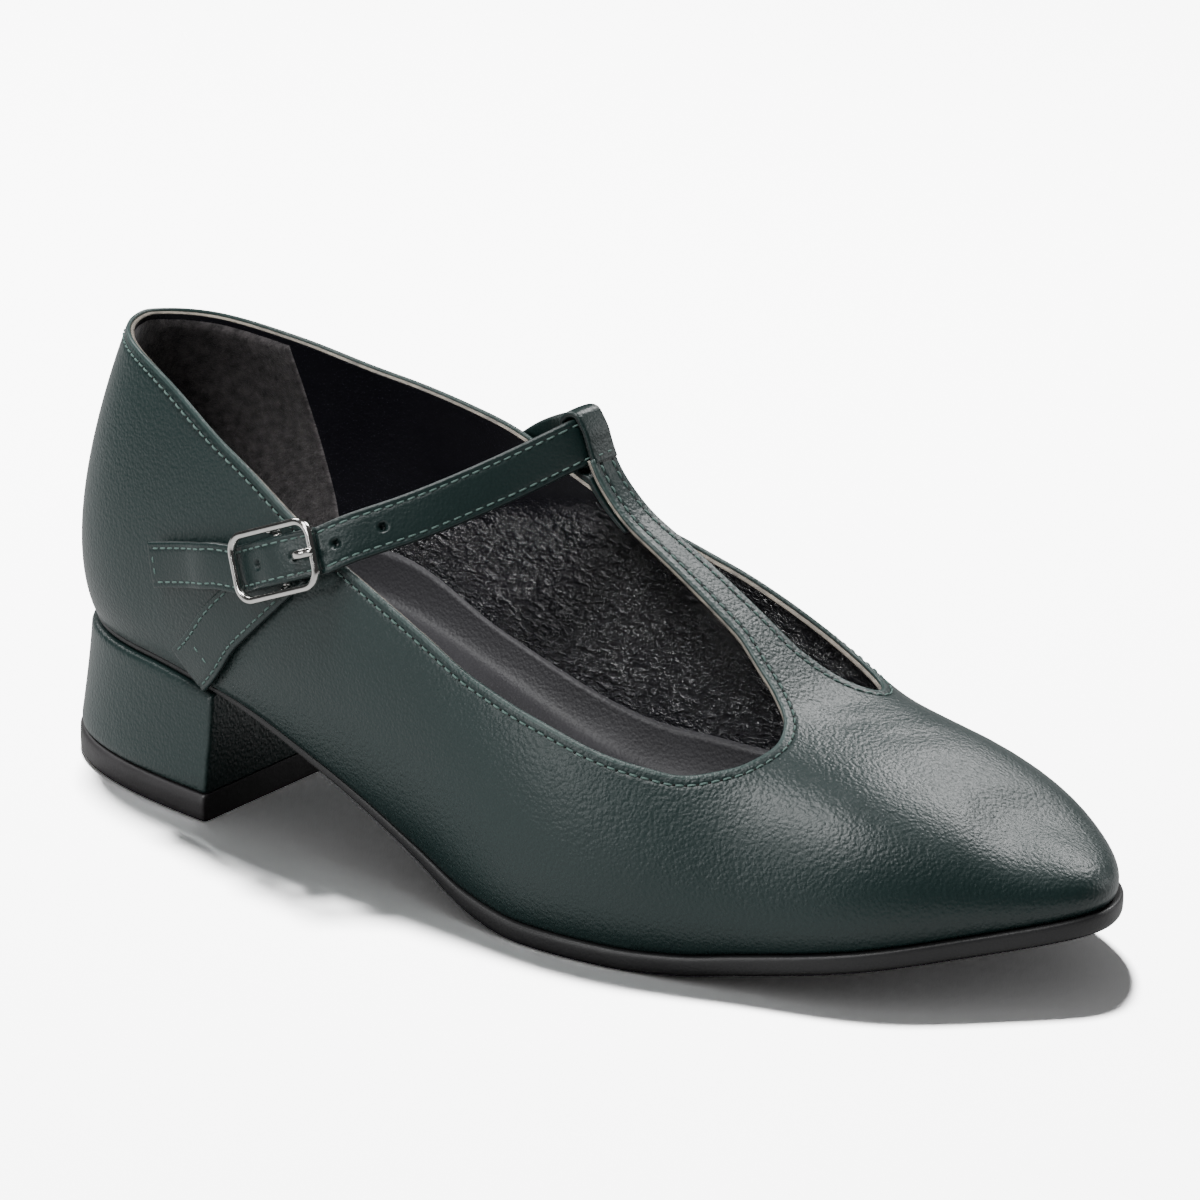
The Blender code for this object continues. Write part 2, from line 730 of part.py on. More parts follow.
def wire_rings(path, ups, thickness, closed, sides=8):
    """Rings of a round wire along a path, of one thickness or one for each point."""
    if closed:
        runs = np.roll(path, -1, axis=0) - np.roll(path, 1, axis=0)
    else:
        runs = np.gradient(path, axis=0)
    runs /= np.linalg.norm(runs, axis=1)[:, None]
    side = np.cross(runs, ups)
    side /= np.linalg.norm(side, axis=1)[:, None]
    ups = np.cross(side, runs)
    turn = (np.arange(sides) + 0.5) * 2 * math.pi / sides
    return (path[:, None] + (np.cos(turn)[None, :, None] * side[:, None]
                             + np.sin(turn)[None, :, None] * ups[:, None])
            * np.asarray(thickness).reshape(-1, 1, 1) / 2)


def buckle_axes():
    """Centre of the buckle on the wall, and its directions along, across and out."""
    station, way = BUCKLE_AT
    centre, out = on_wall(np.array(station), np.array(way), 0.0)
    level = np.array([-out[1], out[0], 0.0])
    level /= np.linalg.norm(level)
    run = level * math.cos(BUCKLE_RISE) + np.cross(out, level) * math.sin(BUCKLE_RISE)
    return centre, run, np.cross(out, run), out


BAR_WIRE = 0.8 * WIRE                              # thickness of the buckle's centre bar
TAB_LIFT = 0.25 * WALL                             # under side of the tab above the wall
CENTRE_BAR = TAB_LIFT + TAB_GAUGE + GAP + BAR_WIRE / 2    # middle of the centre bar
STRAP_OVER = CENTRE_BAR + BAR_WIRE / 2 + GAP       # under side of the strap where it crosses
STRAP_UNDER = TAB_LIFT + TAB_GAUGE + 1.5 * GAP     # under side of the strap at the ends
FRAME_LIFT = STRAP_UNDER + STRAP_GAUGE + 1.3 * GAP + WIRE / 2   # middle of the outer frame
HOOK_GAUGE = 0.6 * PRONG                           # the prong is hammered thin at its hook
HOOK = BAR_WIRE / 2 + GAP + HOOK_GAUGE / 2         # from the centre bar to the hook's middle
STRAP_AT = 0.87 * BAR_REACH                        # how far up the turned bar the strap lies
STRAP_BEHIND = WALL + 3.0 * GAP + STRAP_GAUGE      # its under side behind the bar's face


def strap_rows():
    """Centres of the strap's under side and its outward directions, tail to sewn end."""
    centres, outs = [], []

    def add(point, out):
        centres.append(point)
        outs.append(out)

    for station, way, lift in TAIL:
        add(*on_wall(np.array(station), np.array(way), lift * WALL))
    centre, run, _, out = buckle_axes()
    half = BUCKLE_LENGTH / 2
    for reach, share in BUCKLE_WAVE:
        lift = STRAP_UNDER + (STRAP_OVER - STRAP_UNDER) * share
        add(centre + run * half * reach + out * lift, out)
    top, up, front = bar_frame(STRAP_AT)
    under = top - front * STRAP_BEHIND
    side = np.array([0.0, 0.42 * BAR_WIDTH, 0.0])
    lean_in = np.array([0.0, 0.16, 0.0])

    def span(start, start_out, stop, stop_out, rows):
        for share, bulge, sag in rows:
            facing = start_out * (1 - share) + stop_out * share
            facing /= np.linalg.norm(facing)
            point = start * (1 - share) + stop * share + facing * bulge * STRAP_GAUGE
            add(point - np.array([0, 0, sag * STRAP_GAUGE]), facing)

    last = centre + run * half * BUCKLE_WAVE[-1][0] + out * STRAP_UNDER
    span(last, out, under - side, front - 2 * lean_in, OUTER_SPAN)
    add(under - side, front - lean_in)
    add(under, front)
    add(under + side, front + lean_in)
    meet, meet_out = on_wall(np.array(RING - SEWN_END[0][0]), np.array(SEWN_END[0][1]),
                             SEWN_END[0][2] * WALL)
    span(under + side, front + 2 * lean_in, meet, meet_out, INNER_SPAN)
    for station, way, lift in SEWN_END:
        add(*on_wall(np.array(RING - station), np.array(way), lift * WALL))
    return np.array(centres), np.array(outs)


def build_strap():
    """Ankle strap with its loose tail, its way through the buckle and its sewn end."""
    centres, outs = strap_rows()
    path = smooth_path(np.hstack([centres, outs]), 400)
    path = even_rows(path, 84)
    strap = ribbon("ankle_strap", path[:, :3], path[:, 3:], STRAP_WIDTH, STRAP_GAUGE, GREEN, 0.45)
    across = buckle_axes()[2]
    ends = np.array([buckle_point(x, z) for x, z, _ in prong_line()[-5:-2]])
    drill = tube("prong_hole_cutter", wire_rings(ends, np.tile(across, (3, 1)),
                                                 PRONG + 3 * GAP, False, 12), BLACK, 0.5)
    cut_with(strap, drill)
    return strap


def cut_with(item, cutter, operation="DIFFERENCE"):
    """Cuts a cutter out of an item, or joins it to the item."""
    cutter.hide_render = True
    cutter.display_type = "WIRE"
    change = item.modifiers.new(cutter.name, "BOOLEAN")
    change.object = cutter
    change.operation = operation
    change.solver = "EXACT"


def even_rows(rows, count):
    """Rows of a path respaced evenly by the walk of their first three columns."""
    walked = np.linalg.norm(np.diff(rows[:, :3], axis=0), axis=1)
    walked = np.concatenate([[0], np.cumsum(walked)])
    stops = np.linspace(0, walked[-1], count)
    return np.stack([np.interp(stops, walked, column) for column in rows.T], -1)


def buckle_point(reach, lift, side=0.0):
    """A point given along, above and across the buckle."""
    centre, run, across, out = buckle_axes()
    return centre + run * reach + out * lift + across * side


def prong_line():
    """Middle and thickness of the prong: reach, lift, gauge, from its hook to its tip."""
    hook = [(HOOK * math.cos(math.radians(a)), CENTRE_BAR + HOOK * math.sin(math.radians(a)),
             HOOK_GAUGE) for a in range(170, 321, 25)]
    half = BUCKLE_LENGTH / 2
    rest = FRAME_LIFT + WIRE / 2 + GAP + PRONG / 2
    middle = (STRAP_OVER + STRAP_UNDER + STRAP_GAUGE) / 2 + GAP / 2
    return hook + [(0.27 * half, middle - 0.8 * PRONG, PRONG), (0.42 * half, middle, PRONG),
                   (0.58 * half, middle + 1.0 * PRONG, PRONG), (half, rest, PRONG),
                   (half + WIRE * 0.9, rest, PRONG)]


def build_tab():
    """Strip sewn to the outer quarter, which holds the buckle's centre bar."""
    rows = [on_wall(np.array(s), np.array(w), TAB_LIFT) for s, w in TAB]
    centre, run, _, out = buckle_axes()
    rows.append((centre + run * TAB_GAUGE + out * TAB_LIFT, out))
    path = even_rows(smooth_path(np.array([np.hstack(r) for r in rows]), 100), 22)
    tab = ribbon("buckle_tab", path[:, :3], path[:, 3:], TAB_WIDTH, TAB_GAUGE, GREEN, 0.45)
    slot = PRONG / 2 + GAP
    front = 4 * TAB_GAUGE
    rings = np.array([[buckle_point(x, z, y) for y, z in
                       ((-slot, -front), (slot, -front), (slot, front), (-slot, front))]
                      for x in (-HOOK - slot, front)])
    cut_with(tab, tube("prong_slot_cutter", rings, BLACK, 0.5))
    return tab


def build_buckle():
    """Frame with rounded corners and a centre bar, in one piece."""
    centre, run, across, out = buckle_axes()
    half_length, half_height = BUCKLE_LENGTH / 2, BUCKLE_HEIGHT / 2
    corner = BUCKLE_CORNER
    outline = []
    for x, y, turn in ((1, 1, 0), (-1, 1, 90), (-1, -1, 180), (1, -1, 270)):
        for step in range(5):
            angle = math.radians(turn + step * 22.5)
            outline.append((x * (half_length - corner) + corner * math.cos(angle),
                            y * (half_height - corner) + corner * math.sin(angle)))
    middle = centre + out * FRAME_LIFT
    path = np.array([middle + run * a + across * b for a, b in outline])
    frame = tube("buckle_frame", wire_rings(path, np.tile(out, (len(path), 1)), WIRE, True),
                 SILVER, 0.25, True, 1.0)
    rise = FRAME_LIFT - CENTRE_BAR
    bar = []
    for share in (-1.0, -0.93, -0.86, -0.5, 0.0, 0.5, 0.86, 0.93, 1.0):
        dip = rise if abs(share) < 0.9 else rise * (1 - abs(share)) / 0.07 * 0.5
        bar.append(middle + across * half_height * share - out * dip)
    bar = np.array(bar)
    rings = wire_rings(bar, np.tile(run, (len(bar), 1)), BAR_WIRE, False)
    rod = tube("centre_bar_cutter", rings, SILVER, 0.25, False, 1.0)
    cut_with(frame, rod, "UNION")
    return frame


def build_prong():
    """Prong hooked round the centre bar, up through the strap and down on the front bar."""
    across = buckle_axes()[2]
    path = np.array([(*buckle_point(x, z), gauge) for x, z, gauge in prong_line()])
    path = even_rows(smooth_path(path, 60), 26)
    rings = wire_rings(path[:, :3], np.tile(across, (len(path), 1)), path[:, 3:], False)
    return tube("buckle_prong", rings, SILVER, 0.25, False, 1.0)


def build_loop():
    """End of the bar folded back over the ankle strap and stitched down behind the bar."""
    edge = STRAP_AT + STRAP_WIDTH / 2
    foot = STRAP_AT - STRAP_WIDTH / 2
    back = STRAP_BEHIND - STRAP_GAUGE
    rows = [(edge + b * LOOP_GAUGE, back + f * STRAP_GAUGE, a, 1) for b, f, a in FOLD_OVER]
    rows += [(STRAP_AT, back + FOLD_UNDER[0][1] * STRAP_GAUGE, 180, 1)]
    rows += [(foot - b * LOOP_GAUGE, back + f * STRAP_GAUGE, a, 1) for b, f, a in FOLD_UNDER]
    rows += [(foot * share, back, 180, gauge) for share, gauge in LOOP_TAIL]
    placed = []
    for reach, behind_face, angle, gauge in rows:
        centre, up, face = bar_frame(min(reach, BAR_REACH))
        turn = math.radians(angle)
        point = centre + up * max(reach - BAR_REACH, 0) - face * behind_face
        out = up * math.sin(turn) + face * math.cos(turn)
        placed.append(np.hstack([point, out, gauge * LOOP_GAUGE]))
    path = even_rows(smooth_path(np.array(placed), 80), 44)
    return ribbon("t_bar_loop", path[:, :3], path[:, 3:6], BAR_WIDTH * BAR_TAPER, path[:, 6],
                  GREEN, 0.45)


def centre_on_floor():
    """Moves every mesh so that the shoe's box is centred on the origin, in plan."""
    shown = [item for item in bpy.data.objects if not item.hide_render]
    plan = np.array([point.co[:2] for item in shown for point in item.data.vertices])
    middle = (plan.min(0) + plan.max(0)) / 2
    for item in bpy.data.objects:
        item.data.transform(Matrix.Translation((-middle[0], -middle[1], 0)))


def main():
    for item in list(bpy.data.objects):
        bpy.data.objects.remove(item, do_unlink=True)
    build_upper()
    build_insole()
    build_outsole()
    build_heel_block()
    build_heel_tip()
    build_strap()
    build_loop()
    build_tab()
    build_buckle()
    build_prong()
    centre_on_floor()


main()
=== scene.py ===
"""The right mary jane pump as it is seen: leather, lining, stitches, buckle, sole and floor.

Metres. Everything is worked out on the last: +X to the toe, +Y to the inner side of the foot,
+Z up. OFFSET then carries it into the row frame, where the CAD model stands.
"""
import math

import bmesh
import bpy
import numpy as np
from mathutils import Matrix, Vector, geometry


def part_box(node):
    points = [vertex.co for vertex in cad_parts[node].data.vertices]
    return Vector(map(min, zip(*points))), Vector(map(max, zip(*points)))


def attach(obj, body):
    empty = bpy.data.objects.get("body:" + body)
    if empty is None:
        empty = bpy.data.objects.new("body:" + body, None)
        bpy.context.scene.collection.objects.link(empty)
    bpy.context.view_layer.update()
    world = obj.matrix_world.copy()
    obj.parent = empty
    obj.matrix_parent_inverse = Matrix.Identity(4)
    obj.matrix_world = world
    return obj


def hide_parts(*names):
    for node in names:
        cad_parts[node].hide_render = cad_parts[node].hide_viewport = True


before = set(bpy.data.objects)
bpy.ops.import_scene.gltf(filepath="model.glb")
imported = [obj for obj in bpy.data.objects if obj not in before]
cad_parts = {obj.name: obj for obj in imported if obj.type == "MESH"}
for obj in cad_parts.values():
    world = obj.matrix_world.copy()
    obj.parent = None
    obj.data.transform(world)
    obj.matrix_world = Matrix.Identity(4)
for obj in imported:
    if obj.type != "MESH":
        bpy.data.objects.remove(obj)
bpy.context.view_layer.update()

# The shoe's own sizes, as in the part's source
LENGTH = 0.2415
BALL_WIDTH = 0.0757
HEEL_RISE = 0.0308
TOE_SPRING = 0.0131
INSTEP = 0.0686
GAP = 0.0003
WALL = 0.0018
MARGIN = 0.0085
SOLE_GAUGE = 0.0041
INSOLE_GAUGE = 0.0022
TIP_GAUGE = 0.0058
BREAST = 0.0512
HEEL_SEAT = 0.0008
HEEL_FLARE = 0.0034
BAR_WIDTH = 0.0106
BAR_TAPER = 0.70
BAR_REACH = 0.0232
LOOP_GAUGE = 0.0013
STRAP_WIDTH = 0.0095
STRAP_GAUGE = 0.0018
TAB_WIDTH = 0.0112
TAB_GAUGE = 0.0012
BUCKLE_LENGTH = 0.0214
BUCKLE_HEIGHT = 0.0126
BUCKLE_CORNER = 0.0032
WIRE = 0.0021
PRONG = 0.0015
BUCKLE_RISE = math.radians(23)
BUCKLE_AT = (3.735, 0.368)
BAR_ROOT = 7.1
BAR_TURN_FROM = 0.567
RING = 24

# Finish: what a maker adds to the solids
FOLD = 0.0005            # radius of the folded top edge
LEATHER = 0.00092        # thickness of the outer leather
LINING_TOP = 0.00098     # depth of the lining's outer face under the leather's face
STITCH_IN = 0.0021       # stitches in from the folded edge
STITCH_PITCH = 0.0023
STITCH_LENGTH = 0.0018
THREAD = 0.00042         # thickness of the thread
STRAP_STITCH_IN = 0.0013
MESH = 0.0016            # size of the net on the upper
BAR_CUT = 0.0166         # how far up the turned bar the upper's own leather is seen
EDGE_DRAFT = 0.0008      # spacing of the opening's edge before it is smoothed
EDGE_STEP = 0.00085      # and after
RIM_POINTS = 360         # points round the feather line
PLEAT_FOOT = 0.02        # way up the wall at which the pleats start to run out
PLEAT_REACH = 0.02       # how far from its foot a pleat can be felt
SEAM_SINK = 0.00015      # depth of the furrow along a seam
SEAM_SPREAD = 0.0003     # half width of that furrow
PIT_DEPTH = 0.0013       # depth of the strap's spare holes
PIT_RIM = 0.00007        # how far the leather stands up round them
SUEDE_LIFT = 0.00055     # depth of the suede's face inside the wall
SUEDE_FOOT = 0.045       # way up the wall at which it starts
SUEDE_UNDER_EDGE = 0.016  # and how far under the topline it ends, as a way up
SOCK_GAUGE = 0.0010
NEEDLE_LONG = 0.00036    # half length of a needle hole
NEEDLE_WIDE = 0.00027

# The last: one row for each station from the heel (0) to the toe (12)
LAST = (
    # along, outer, inner, spine, belly_outer, belly_inner, lean_outer, lean_inner, shoulder
    (0.000, 0.000, 0.000, 0.104, 0.021, 0.021, 0.46, 0.46, 0.92),
    (0.037, 0.227, 0.219, 0.124, 0.048, 0.045, 0.50, 0.50, 0.92),
    (0.124, 0.354, 0.312, 0.174, 0.042, 0.048, 0.76, 0.76, 0.92),
    (0.232, 0.411, 0.296, 0.248, 0.041, 0.079, 0.86, 0.92, 0.92),
    (0.344, 0.456, 0.262, 0.348, 0.040, 0.112, 0.93, 1.05, 0.92),
    (0.455, 0.510, 0.251, 0.455, 0.040, 0.125, 0.95, 1.14, 0.92),
    (0.567, 0.587, 0.320, 0.567, 0.033, 0.112, 0.95, 1.15, 0.92),
    (0.671, 0.585, 0.413, 0.663, 0.033, 0.066, 0.95, 1.08, 0.92),
    (0.770, 0.513, 0.448, 0.745, 0.029, 0.033, 0.95, 0.95, 0.92),
    (0.861, 0.425, 0.420, 0.820, 0.026, 0.026, 0.95, 0.95, 0.90),
    (0.925, 0.285, 0.330, 0.874, 0.020, 0.017, 0.95, 0.95, 0.80),
    (0.975, 0.148, 0.189, 0.907, 0.011, 0.007, 0.95, 0.95, 0.68),
    (1.000, 0.000, 0.000, 0.915, 0.011, 0.011, 0.95, 0.95, 0.62),
)
SOLE_LINE = (
    # along, pitch, spring
    (0.000, 1.000, 0.00),
    (0.124, 0.995, 0.00),
    (0.232, 0.880, 0.00),
    (0.344, 0.600, 0.00),
    (0.455, 0.246, 0.00),
    (0.520, 0.062, 0.00),
    (0.580, 0.000, 0.00),
    (0.665, 0.000, 0.00),
    (0.720, 0.000, 0.06),
    (0.770, 0.000, 0.21),
    (0.861, 0.000, 0.50),
    (0.925, 0.000, 0.73),
    (0.975, 0.000, 0.91),
    (1.000, 0.000, 1.00),
)
SPINE = (
    # along, height, swing
    (0.000, 1.198, 0.000),
    (0.166, 1.240, 0.000),
    (0.331, 1.318, 0.000),
    (0.455, 1.182, 0.000),
    (0.567, 1.000, 0.006),
    (0.663, 0.790, 0.018),
    (0.745, 0.575, 0.026),
    (0.820, 0.452, 0.031),
    (0.874, 0.350, 0.040),
    (0.915, 0.250, 0.047),
    (1.000, 0.110, 0.063),
)
COLLAR = (
    # station, outer, inner
    (0.0, 0.575, 0.575),
    (1.0, 0.568, 0.552),
    (2.0, 0.538, 0.512),
    (3.0, 0.464, 0.484),
    (4.0, 0.416, 0.495),
    (5.0, 0.442, 0.548),
    (6.0, 0.484, 0.640),
    (6.7, 0.505, 0.662),
)
THROAT = (
    # station, outer, inner
    (7.14, 0.536, 0.664),
    (7.41, 0.567, 0.682),
    (7.66, 0.635, 0.717),
    (7.80, 0.690, 0.755),
    (7.91, 0.781, 0.812),
    (7.82, 0.862, 0.862),
    (7.60, 0.908, 0.906),
    (7.35, 0.931, 0.931),
)
SOLE_EDGE = (
    # along, gauge, stand
    (0.000, 0.32, -0.25),
    (0.200, 0.32, -0.25),
    (0.280, 0.44, -0.15),
    (0.430, 0.56, 0.20),
    (0.555, 1.00, 0.65),
    (1.000, 1.00, 0.80),
)
BAR_TURN = (
    # share of BAR_REACH, degrees
    (0.13, 38),
    (0.24, 43),
    (0.45, 50),
    (0.64, 62),
    (0.83, 68),
    (1.00, 69),
)
TAIL = (
    # station, way up, lift as a share of WALL
    (2.34, 0.238, 0.28),
    (2.56, 0.2555, 0.28),
    (2.76, 0.2715, 0.50),
    (2.93, 0.2845, 1.00),
    (3.08, 0.2970, 1.20),
)
SEWN_END = (
    # station, way up, lift as a share of WALL
    (4.30, 0.490, 0.90),
    (4.05, 0.430, 0.30),
    (3.70, 0.362, 0.28),
    (3.30, 0.280, 0.28),
    (2.85, 0.175, 0.28),
    (2.45, 0.072, 0.28),
)
TAB = (
    # station, way up
    (2.63, 0.034),
    (2.82, 0.100),
    (3.03, 0.178),
    (3.23, 0.233),
    (3.42, 0.282),
)
OUTER_SPAN = (
    # way along, bulge outwards, sag
    (0.14, 0.60, 0.10),
    (0.40, 0.70, 0.60),
    (0.70, 0.20, 0.50),
)
INNER_SPAN = (
    # way along, bulge outwards, sag
    (0.27, 0.62, 0.00),
    (0.55, 1.70, 0.00),
    (0.82, 1.40, 0.00),
)
BUCKLE_WAVE = (
    # reach as a share of half the buckle's length, rise
    (-1.12, 0.00),
    (-0.96, 0.02),
    (-0.60, 0.48),
    (-0.18, 1.00),
    (0.18, 1.00),
    (0.60, 0.48),
    (0.96, 0.02),
    (1.12, 0.00),
)

# Soft troughs and ridges in the leather, laid on the shoe as it stands: where the middle is,
# along as a share of LENGTH and across as a share of BALL_WIDTH (plus to the inner side).
CREASES = (
    # along, across, turn in degrees, half length mm, half width mm, depth mm
    (0.752, 0.010, 62, 7.0, 1.7, -0.36),
    (0.766, 0.030, 55, 8.0, 1.5, 0.26),
    (0.781, 0.050, 68, 7.0, 1.8, -0.34),
    (0.796, 0.070, 58, 8.0, 1.8, 0.24),
    (0.812, 0.090, 66, 7.0, 2.2, -0.26),
    (0.770, -0.040, 30, 6.0, 1.6, -0.24),
    (0.828, 0.060, 72, 9.0, 2.6, 0.20),
    (0.172, -0.36, 20, 13.0, 7.0, -0.55),
    (0.118, -0.36, -15, 12.0, 6.0, -0.45),
    (0.205, -0.45, 10, 16.0, 7.0, -0.35),
)
# Small lasting pleats round the toe: station, half width mm, depth mm
PLEATS = (
    (10.15, 1.4, -0.14),
    (10.42, 1.3, -0.20),
    (10.66, 1.4, -0.16),
    (10.92, 1.3, -0.24),
    (11.16, 1.3, -0.20),
    (11.40, 1.4, -0.26),
    (11.66, 1.3, -0.20),
    (11.90, 1.4, -0.22),
    (12.18, 1.4, -0.14),
)
PLEAT_HEIGHT = 0.13      # way up the wall at which the pleats have run out


def monotone(places, values):
    """Cubic curve through the points that never overshoots them; slope=True gives its slope."""
    places, values = np.asarray(places, float), np.asarray(values, float)
    step = np.diff(places)
    rise = np.diff(values) / step
    lean = np.zeros(len(places))
    lean[0], lean[-1] = rise[0], rise[-1]
    for i in range(1, len(places) - 1):
        if rise[i - 1] * rise[i] > 0:
            before, after = 2 * step[i] + step[i - 1], step[i] + 2 * step[i - 1]
            lean[i] = (before + after) / (before / rise[i - 1] + after / rise[i])

    def at(place, slope=False):
        place = np.asarray(place, float)
        inside_place = np.clip(place, places[0], places[-1])
        i = np.clip(np.searchsorted(places, inside_place) - 1, 0, len(step) - 1)
        u = (inside_place - places[i]) / step[i]
        tilt = ((6 * u**2 - 6 * u) * (values[i] - values[i + 1]) / step[i]
                + (3 * u**2 - 4 * u + 1) * lean[i] + (3 * u**2 - 2 * u) * lean[i + 1])
        if slope:
            return tilt
        value = ((2 * u**3 - 3 * u**2 + 1) * values[i] + (3 * u**2 - 2 * u**3) * values[i + 1]
                 + step[i] * ((u**3 - 2 * u**2 + u) * lean[i] + (u**3 - u**2) * lean[i + 1]))
        return value + tilt * (place - inside_place)

    return at


def round_ring(outer_side, inner_side):
    """Closed smooth curve over the ring of stations, from a column for each side."""
    values = np.concatenate([outer_side, inner_side[-2:0:-1]])
    count = len(values)
    system = 4 * np.eye(count) + np.roll(np.eye(count), 1, 1) + np.roll(np.eye(count), -1, 1)
    slopes = np.linalg.solve(system, 3 * (np.roll(values, -1) - np.roll(values, 1)))

    def at(station):
        station = np.mod(np.asarray(station, float), count)
        i = np.floor(station).astype(int) % count
        j = (i + 1) % count
        u = station - np.floor(station)
        return (values[i] * (2 * u**3 - 3 * u**2 + 1) + slopes[i] * (u**3 - 2 * u**2 + u)
                + values[j] * (3 * u**2 - 2 * u**3) + slopes[j] * (u**3 - u**2))

    return at


along, outer, inner, spine, belly_o, belly_i, lean_o, lean_i, shoulders = np.array(LAST).T
line_at, pitch, spring = np.array(SOLE_LINE).T
spine_at, spine_height, swing = np.array(SPINE).T
edge_at, edge_gauge, edge_stand = np.array(SOLE_EDGE).T
BALL_RISE = SOLE_GAUGE + GAP
pitch_of = monotone(line_at * LENGTH, pitch * (HEEL_RISE - BALL_RISE))
spring_of = monotone(line_at * LENGTH, spring * TOE_SPRING)
spine_over_sole = monotone(spine_at * LENGTH, spine_height * INSTEP)
middle_of = monotone(spine_at * LENGTH, swing * BALL_WIDTH)
gauge_of = monotone(edge_at * LENGTH, edge_gauge * SOLE_GAUGE)
stand_of = monotone(edge_at * LENGTH, edge_stand * WALL)


def sole_line(x):
    """Height of the feather line above the floor."""
    return BALL_RISE + pitch_of(x) + spring_of(x)


def spine_line(x):
    """Height of the spine of the last above the floor."""
    return sole_line(x) + spine_over_sole(x)


def spine_slope(x):
    """How fast the spine of the last rises along the shoe."""
    return pitch_of(x, True) + spring_of(x, True) + spine_over_sole(x, True)


middles = middle_of(along * LENGTH)
feather_x = round_ring(along * LENGTH, along * LENGTH)
feather_y = round_ring(middles - outer * BALL_WIDTH, middles + inner * BALL_WIDTH)
spine_x = round_ring(spine * LENGTH, spine * LENGTH)
belly = round_ring(belly_o * BALL_WIDTH, belly_i * BALL_WIDTH)
lean = round_ring(lean_o, lean_i)
shoulder = round_ring(shoulders, shoulders)


def unit(vectors):
    return vectors / np.linalg.norm(vectors, axis=-1)[..., None]


def feather(station):
    """Points of the feather line, where the upper meets the sole."""
    x = feather_x(station)
    return np.stack([x, feather_y(station), sole_line(x)], -1)


def feather_outward(station):
    """Level unit vectors pointing out of the feather line."""
    run = feather(station + 0.02) - feather(station - 0.02)
    return unit(np.stack([run[..., 1], -run[..., 0], 0 * run[..., 0]], -1))


def bar_frame(reach):
    """Centre, upward and outward directions of the bar's face, reach behind where it turns."""
    reach = np.asarray(reach, float)
    start = BAR_TURN_FROM * LENGTH
    shares, degrees = np.array(BAR_TURN).T
    first = math.degrees(math.atan(-float(spine_slope(start))))
    rise = monotone(np.r_[0, shares] * BAR_REACH, np.radians(np.r_[first, degrees]))
    part = (np.arange(32) + 0.5) / 32
    angles = rise(np.minimum(reach[..., None] * part, BAR_REACH))
    x = start - reach * np.cos(angles).mean(-1)
    z = float(spine_line(start)) + reach * np.sin(angles).mean(-1)
    angle = rise(np.minimum(reach, BAR_REACH))
    level = 0 * reach
    centre = np.stack([x, level + float(middle_of(start)), z], -1)
    up = np.stack([-np.cos(angle), level, np.sin(angle)], -1)
    out = np.stack([np.sin(angle), level, np.cos(angle)], -1)
    return centre, up, out


def turn_bar(point, way):
    """The bar's rear part turns upright to hold the ankle strap; the rest stays."""
    start = BAR_TURN_FROM * LENGTH
    stretch = math.hypot(1, spine_slope(start))
    behind = np.clip(start - point[..., 0], 0, None)
    drop = (point[..., 2] - spine_line(point[..., 0])) / stretch
    centre, up, out = bar_frame(behind * stretch)
    turned = centre + drop[..., None] * out
    turned[..., 1] += point[..., 1] - centre[..., 1]
    on_bar = (behind > 0) & (way > 0.8)
    return np.where(on_bar[..., None], turned, point)


def wall(station, way):
    """The upper's outer face: from the feather line (way 0) up to the spine (way 1)."""
    station, way = np.broadcast_arrays(np.asarray(station, float), np.asarray(way, float))
    low = feather(station)
    x = spine_x(station)
    top = np.stack([x, middle_of(x), spine_line(x)], -1)
    out = (low - top)[..., :2]
    reach = np.linalg.norm(out, axis=-1)
    out = out / reach[..., None]
    rise = top[..., 2] - low[..., 2]
    fall = spine_slope(x) * out[..., 0] * reach / 2
    reaches = (reach, reach + 1.6 * belly(station), reach + 1.8 * belly(station),
               reach * lean(station), reach / 2, 0 * reach)
    heights = (low[..., 2], low[..., 2] + 0.15 * rise, low[..., 2] + 0.45 * rise,
               low[..., 2] + shoulder(station) * rise, top[..., 2] + fall, top[..., 2])
    level, height = 0, 0
    for k in range(6):
        share = math.comb(5, k) * way**k * (1 - way)**(5 - k)
        level = level + reaches[k] * share
        height = height + heights[k] * share
    point = np.stack([x + out[..., 0] * level, top[..., 1] + out[..., 1] * level, height], -1)
    return turn_bar(point, way)


def tangents(station, way):
    """Outward unit vectors of the wall, and how it moves with the station and the way up."""
    way = np.clip(way, 0.004, 0.996)
    run = (wall(station + 0.02, way) - wall(station - 0.02, way)) / 0.04
    rise = (wall(station, way + 0.004) - wall(station, way - 0.004)) / 0.008
    return unit(np.cross(run, rise)), run, rise


def on_wall(station, way, lift):
    """Points at a height above the wall, and the direction out of the wall there."""
    out = tangents(station, way)[0]
    return wall(station, way) + np.asarray(lift)[..., None] * out, out


def smooth_path(points, count):
    """Uniform Catmull-Rom curve through the points, thinned to about twice count points."""
    ends = np.vstack([2 * points[0] - points[1], points, 2 * points[-1] - points[-2]])
    curve = []
    for i in range(1, len(ends) - 2):
        before, start, stop, after = ends[i - 1:i + 3]
        u = np.linspace(0, 1, 12, endpoint=False)[:, None]
        curve.append(((2 * start) + (stop - before) * u
                      + (2 * before - 5 * start + 4 * stop - after) * u**2
                      + (3 * start - before - 3 * stop + after) * u**3) / 2)
    curve.append(points[-1:])
    return np.vstack(curve)[::max(1, 12 * (len(points) - 1) // (count * 2))]


def walk_of(points):
    """Length walked along a line up to each of its points."""
    steps = np.linalg.norm(np.diff(points[:, :3], axis=0), axis=1)
    return np.concatenate([[0], np.cumsum(steps)])


def at_walk(stops, walked, rows):
    """Rows of a line read at stops along it, where walked is the walk up to each row."""
    return np.stack([np.interp(stops, walked, column) for column in rows.T], -1)


